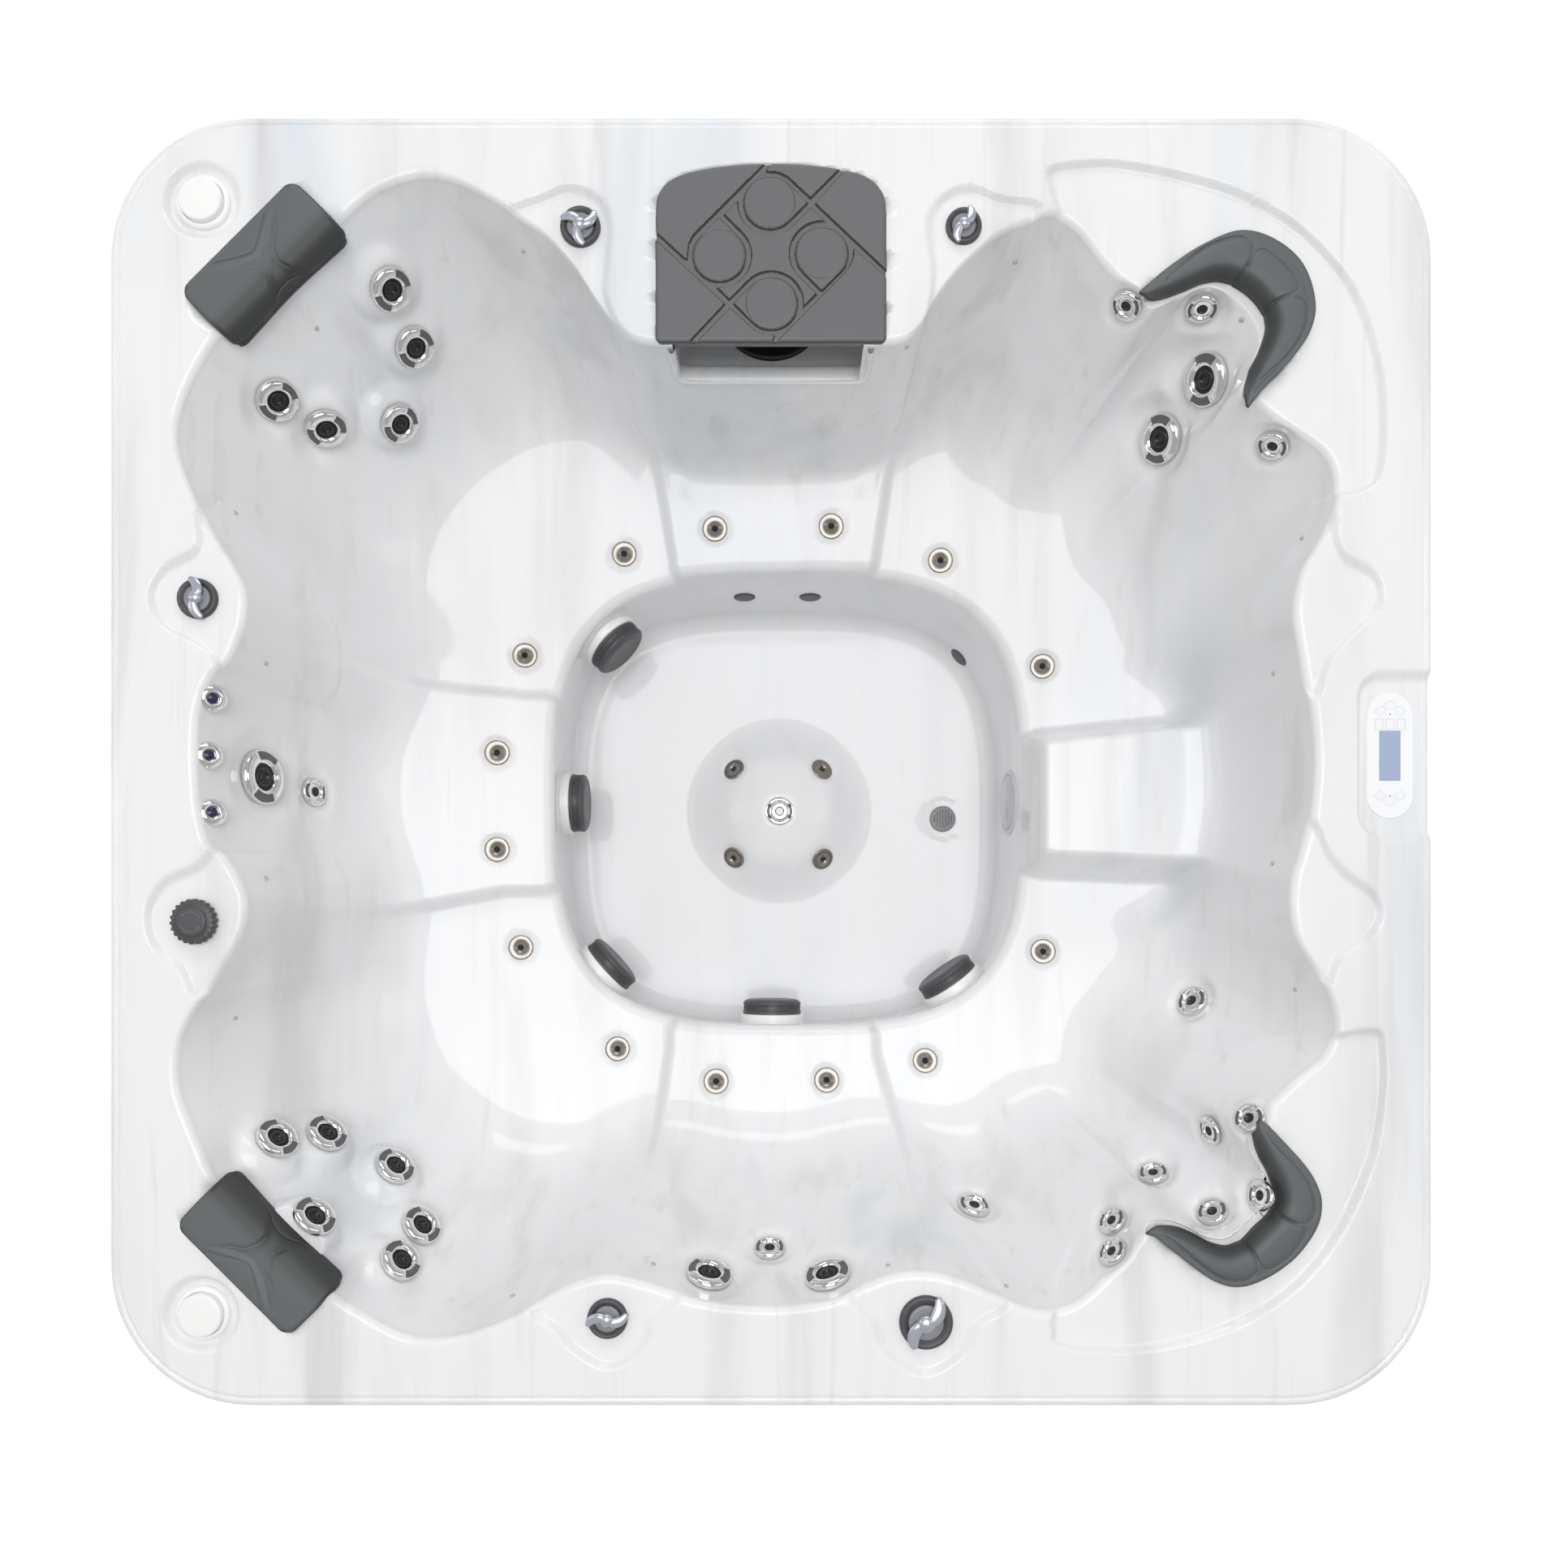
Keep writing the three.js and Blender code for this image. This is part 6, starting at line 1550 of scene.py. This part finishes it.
def dress_lid():
    n, m = ((330, 260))
    u = np.linspace(-LID_HALF + 0.0006, LID_HALF - 0.0006, n)
    v = np.linspace(0, 1, m)
    x = np.repeat(u[:, None], m, 1)
    front, back = lid_front(u), lid_back(u) - 0.0006
    y = front[:, None] * (1 - v) + back[:, None] * v
    raised, rings = lid_relief(x, y)
    step = ease(0.5 - raised / 0.0022)
    z = 0.0028 - 0.0030 * (1 - step) - dip(rings, 0.0007, 0.0006) * (raised < -0.001)
    rim = np.minimum.reduce([LID_HALF - np.abs(x), y - front[:, None] + 0.0006, back[:, None] - y + 0.0008])
    z -= edge_drop(rim, 0.0050, 0.0065)
    top = np.stack([x, y, DECK + z], 2).reshape(-1, 3)
    # Painted shade: the edges of the channels and the engraved rings are dark lines, wider where they face
    # the front and lie in shade.
    ahead = cell_middles(np.gradient(raised, axis=1) / np.gradient(y, axis=1))
    edge, ring, inset = cell_middles(raised), cell_middles(rings), cell_middles(rim)
    dark = (np.abs(edge) < 0.0008) | ((edge > -0.0006) & (edge < 0.0022) & (ahead < -0.4))
    dark |= (ring < 0.0006) & (edge < -0.0012) & (edge > -0.0200)
    # A painted contact shadow runs round the lid's rim.
    slots = ((dark & (inset > 0.003)) | (inset < 0.0012)).astype(int).ravel()
    index = np.arange(n * m).reshape(n, m)
    border = np.concatenate([index[:, 0], index[-1, 1:], index[-2::-1, -1], index[0, -2:0:-1]]).tolist()
    k, start = len(border), len(top)
    low = top[border].copy()
    low[:, 2] = DECK - LID_BOTTOM
    faces = sheet_faces(n, m)
    faces += [(border[i], start + i, start + (i + 1) % k, border[(i + 1) % k]) for i in range(k)]
    faces.append(tuple(start + i for i in reversed(range(k))))
    slots = np.concatenate([slots, np.zeros(k + 1, int)])
    obj = piece("filter_lid_top", np.concatenate([top, low]), faces, [LID_GREY, LID_SHADE_GREY], slots,
                body="filter_lid")
    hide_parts("filter_lid")


def round_trough(half, floor, x_radius, z_radius, angles):
    """Section of the niche, down one side, round its lower corner and up the other side."""
    left = [(-half, DECK - LID_SEAT), (-half, floor)]
    left += [(-half + x_radius * (1 - math.cos(a)), floor - z_radius * math.sin(a)) for a in angles]
    return left + [(-x, z) for x, z in reversed(left)]


def niche_box():
    """The sides, floor and back of the white box under the lid."""
    corner, angles = 0.022, np.linspace(0.2, math.pi / 2, 8)
    section = round_trough(NICHE_HALF, DECK - NICHE_DEPTH + corner, corner, corner, angles)
    n = len(section)
    ys = [LID_FRONT + 0.012, LID_FRONT + 0.020, NICHE_BACK - 0.03, NICHE_BACK]
    points = np.array([(x, y, z) for y in ys for x, z in section])
    return points, band_faces(len(ys), n, closed=False) + [tuple((len(ys) - 1) * n + i for i in range(n))], 0


def lid_seat():
    """The level seat of the lid round the opening of the niche."""
    half, far, back = NICHE_HALF - 0.0015, 0.190, NICHE_BACK - 0.002
    xs = np.concatenate([np.linspace(-far, -half, 9)[:-1], np.linspace(-half, half, 40),
                         np.linspace(half, far, 9)[1:]])
    ys = np.concatenate([np.linspace(LID_FRONT + 0.001, back, 30), np.linspace(back, 0.992, 13)[1:]])
    gx, gy = np.meshgrid(xs, ys, indexing="ij")
    cx, cy = cell_middles(gx), cell_middles(gy)
    kept = ((signed(lid_outline(), cx, cy) < -0.0028) & ((np.abs(cx) > half) | (cy > back))).ravel()
    points = np.stack([gx, gy, np.full(gx.shape, DECK - LID_SEAT)], 2).reshape(-1, 3)
    return points, [face for face, k in zip(sheet_faces(*gx.shape), kept) if k], 0


def niche_mouth():
    """The rolled frame round the mouth of the niche, towards the well."""
    angles, sides = np.linspace(0.15, math.pi / 2, 9), 12
    mouth = np.array(round_trough(NICHE_HALF + 0.004, DECK - NICHE_DEPTH + 0.030, 0.026, 0.020, angles))
    ahead = np.gradient(mouth, axis=0)
    out = unit(np.stack([ahead[:, 1], -ahead[:, 0]], 1))
    thick, wide, middle = 0.007, 0.017, LID_FRONT + 0.004
    rings = [(x + ox * thick * math.cos(a), middle + wide * math.sin(a), z + oz * thick * math.cos(a))
             for (x, z), (ox, oz) in zip(mouth, out) for a in math.tau * np.arange(sides) / sides]
    return np.array(rings), band_faces(len(mouth), sides), 0


def dress_niche():
    p, f, s = merged([niche_box(), lid_seat(), niche_mouth()])
    obj = piece("filter_niche", p, f, [ACRYLIC], s)


def dress_cartridge():
    x, y, _ = JOINTS["filter_cartridge"]["pos_m"]
    floor = DECK - NICHE_DEPTH
    p, f, _ = lathe([(0.0972, -0.004), (0.0972, 0.0), (0.094, 0.004), (0.088, 0.005), (0.080, 0.004),
                     (0.076, 0.0016), (0.070, 0.0010), (0.044, 0.0010), (0.040, 0.0030), (0.034, 0.0030),
                     (0.031, 0.0010), (0, 0.0010)], 72)
    obj = piece("filter_cartridge_top", p + (x, y, floor + 0.0008), f, [NOZZLE], body="filter_cartridge")
    n = 180
    a = np.arange(n) * math.tau / n
    r = np.where(np.arange(n) % 2 == 0, 0.079, 0.066)
    low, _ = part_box("filter_cartridge")
    pleats = np.concatenate([np.stack([x + r * np.cos(a), y + r * np.sin(a), np.full(n, z)], 1)
                             for z in (low.z + 0.002, floor - 0.020)])
    faces = band_faces(2, n) + [tuple(reversed(range(n))), tuple(range(n, 2 * n))]
    obj = piece("filter_cartridge_pleats", pleats, faces, [FABRIC], body="filter_cartridge", smooth=False)
    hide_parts("filter_cartridge")


dress_lid()
dress_niche()
dress_cartridge()


# Cabinet
def groove_tree():
    """Level strips stacked up a board at an even pitch."""
    tree, given, out = new_tree(
        "cabinet_grooves", "GeometryNodeTree",
        [("Geometry", "NodeSocketGeometry", None), ("Count", "NodeSocketInt", 6),
         ("Pitch", "NodeSocketFloat", 0.13), ("Length", "NodeSocketFloat", 1.0),
         ("Width", "NodeSocketFloat", 0.004), ("Depth", "NodeSocketFloat", 0.002),
         ("Material", "NodeSocketMaterial", None)],
        [("Geometry", "NodeSocketGeometry")])
    size = add_node(tree, "ShaderNodeCombineXYZ", X=given.outputs["Length"], Y=given.outputs["Depth"],
                    Z=given.outputs["Width"])
    cube = add_node(tree, "GeometryNodeMeshCube", Size=size.outputs[0])
    step = add_node(tree, "ShaderNodeCombineXYZ", Z=given.outputs["Pitch"])
    line = add_node(tree, "GeometryNodeMeshLine", {"mode": "OFFSET"}, Count=given.outputs["Count"],
                    Offset=step.outputs[0])
    strips = add_node(tree, "GeometryNodeInstanceOnPoints", Points=line.outputs[0], Instance=cube.outputs[0])
    real = add_node(tree, "GeometryNodeRealizeInstances", Geometry=strips.outputs[0])
    paint = add_node(tree, "GeometryNodeSetMaterial", Geometry=real.outputs[0],
                     Material=given.outputs["Material"])
    tree.links.new(paint.outputs[0], out.inputs[0])
    return tree


GROOVES = groove_tree()


def grooves_on(node, axis, side):
    """Dark grooves along the outer face of a cabinet panel that looks along an axis."""
    low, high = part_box(node)
    mesh = bpy.data.meshes.new(f"{node}_strip")
    mesh.from_pydata([(0, 0, 0)], [], [])
    pitch, length = 0.138, (high - low)[1 - axis]
    sizes = {"Count": 5, "Pitch": pitch, "Length": length - 0.002, "Width": 0.004, "Depth": 0.0012}
    obj = made_by(GROOVES, f"{node}_grooves", mesh, {**sizes, "Material": BOARD_GROOVE})
    if axis == 0:
        obj.data.transform(Matrix.Rotation(math.pi / 2, 4, "Z"))
    shift = [0, 0, low.z + pitch]
    shift[axis] = (high if side > 0 else low)[axis]
    obj.data.transform(Matrix.Translation(shift))
    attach(obj, "tub")


for node, axis, side in (("cabinet_panel_e", 0, 1), ("cabinet_panel_w", 0, -1), ("cabinet_panel_n", 1, 1),
                         ("cabinet_panel_s", 1, -1)):
    grooves_on(node, axis, side)

# Looks of the CAD shapes that are shown as they are, by the start of their names.
CAD_LOOKS = {
    "cabinet_": BOARD, "base_pan": PAN_BLACK, "blower": PAN_BLACK, "control_box": PAN_BLACK,
    "frame": FRAME_STEEL, "pump_1_motor": MOTOR, "pump_2_motor": MOTOR, "pump_1_wet": CHARCOAL,
    "pump_2_wet": CHARCOAL, "heater": BRUSHED,
}
for name, obj in frame["nodes"].items():
    look = next((m for key, m in CAD_LOOKS.items() if name.startswith(key)), SATIN_WHITE)
    obj.data.materials.clear()
    obj.data.materials.append(look)


# Floor and finish
def set_floor():
    """A pale floor that is bright where the camera, a reflection or glass shows it."""
    mesh = bpy.data.meshes.new("floor")
    mesh.from_pydata([(-9, -9, 0), (9, -9, 0), (9, 9, 0), (-9, 9, 0)], [], [(0, 1, 2, 3)])
    material = bpy.data.materials.new("floor_white")
    material.use_nodes = True
    tree = material.node_tree
    paint = tree.nodes["Principled BSDF"]
    paint.inputs["Base Color"].default_value = (0.6, 0.6, 0.61, 1)
    paint.inputs["Roughness"].default_value = 0.9
    shine = add_node(tree, "ShaderNodeEmission", Strength=1.08)
    shown = shown_to(tree, "Is Camera Ray", "Is Glossy Ray", "Is Transmission Ray")
    set_surface(tree, "Material Output", maths(tree, "MULTIPLY", shown, 0.92), paint, shine)
    mesh.materials.append(material)
    floor = in_scene("floor", mesh)


set_floor()
set_camera()
set_world()
soft_box("sky_over", (0, 0.3, 8.0), (4.7, 4.7), 297)
soft_box("sky_left", (-6.0, 0.6, 4.6), (1.8, 5.0), 38)
soft_box("sky_right", (6.0, 0.6, 4.6), (1.8, 5.0), 38)
soft_box("sky_back", (0, 7.4, 4.8), (5.6, 2.0), 135)
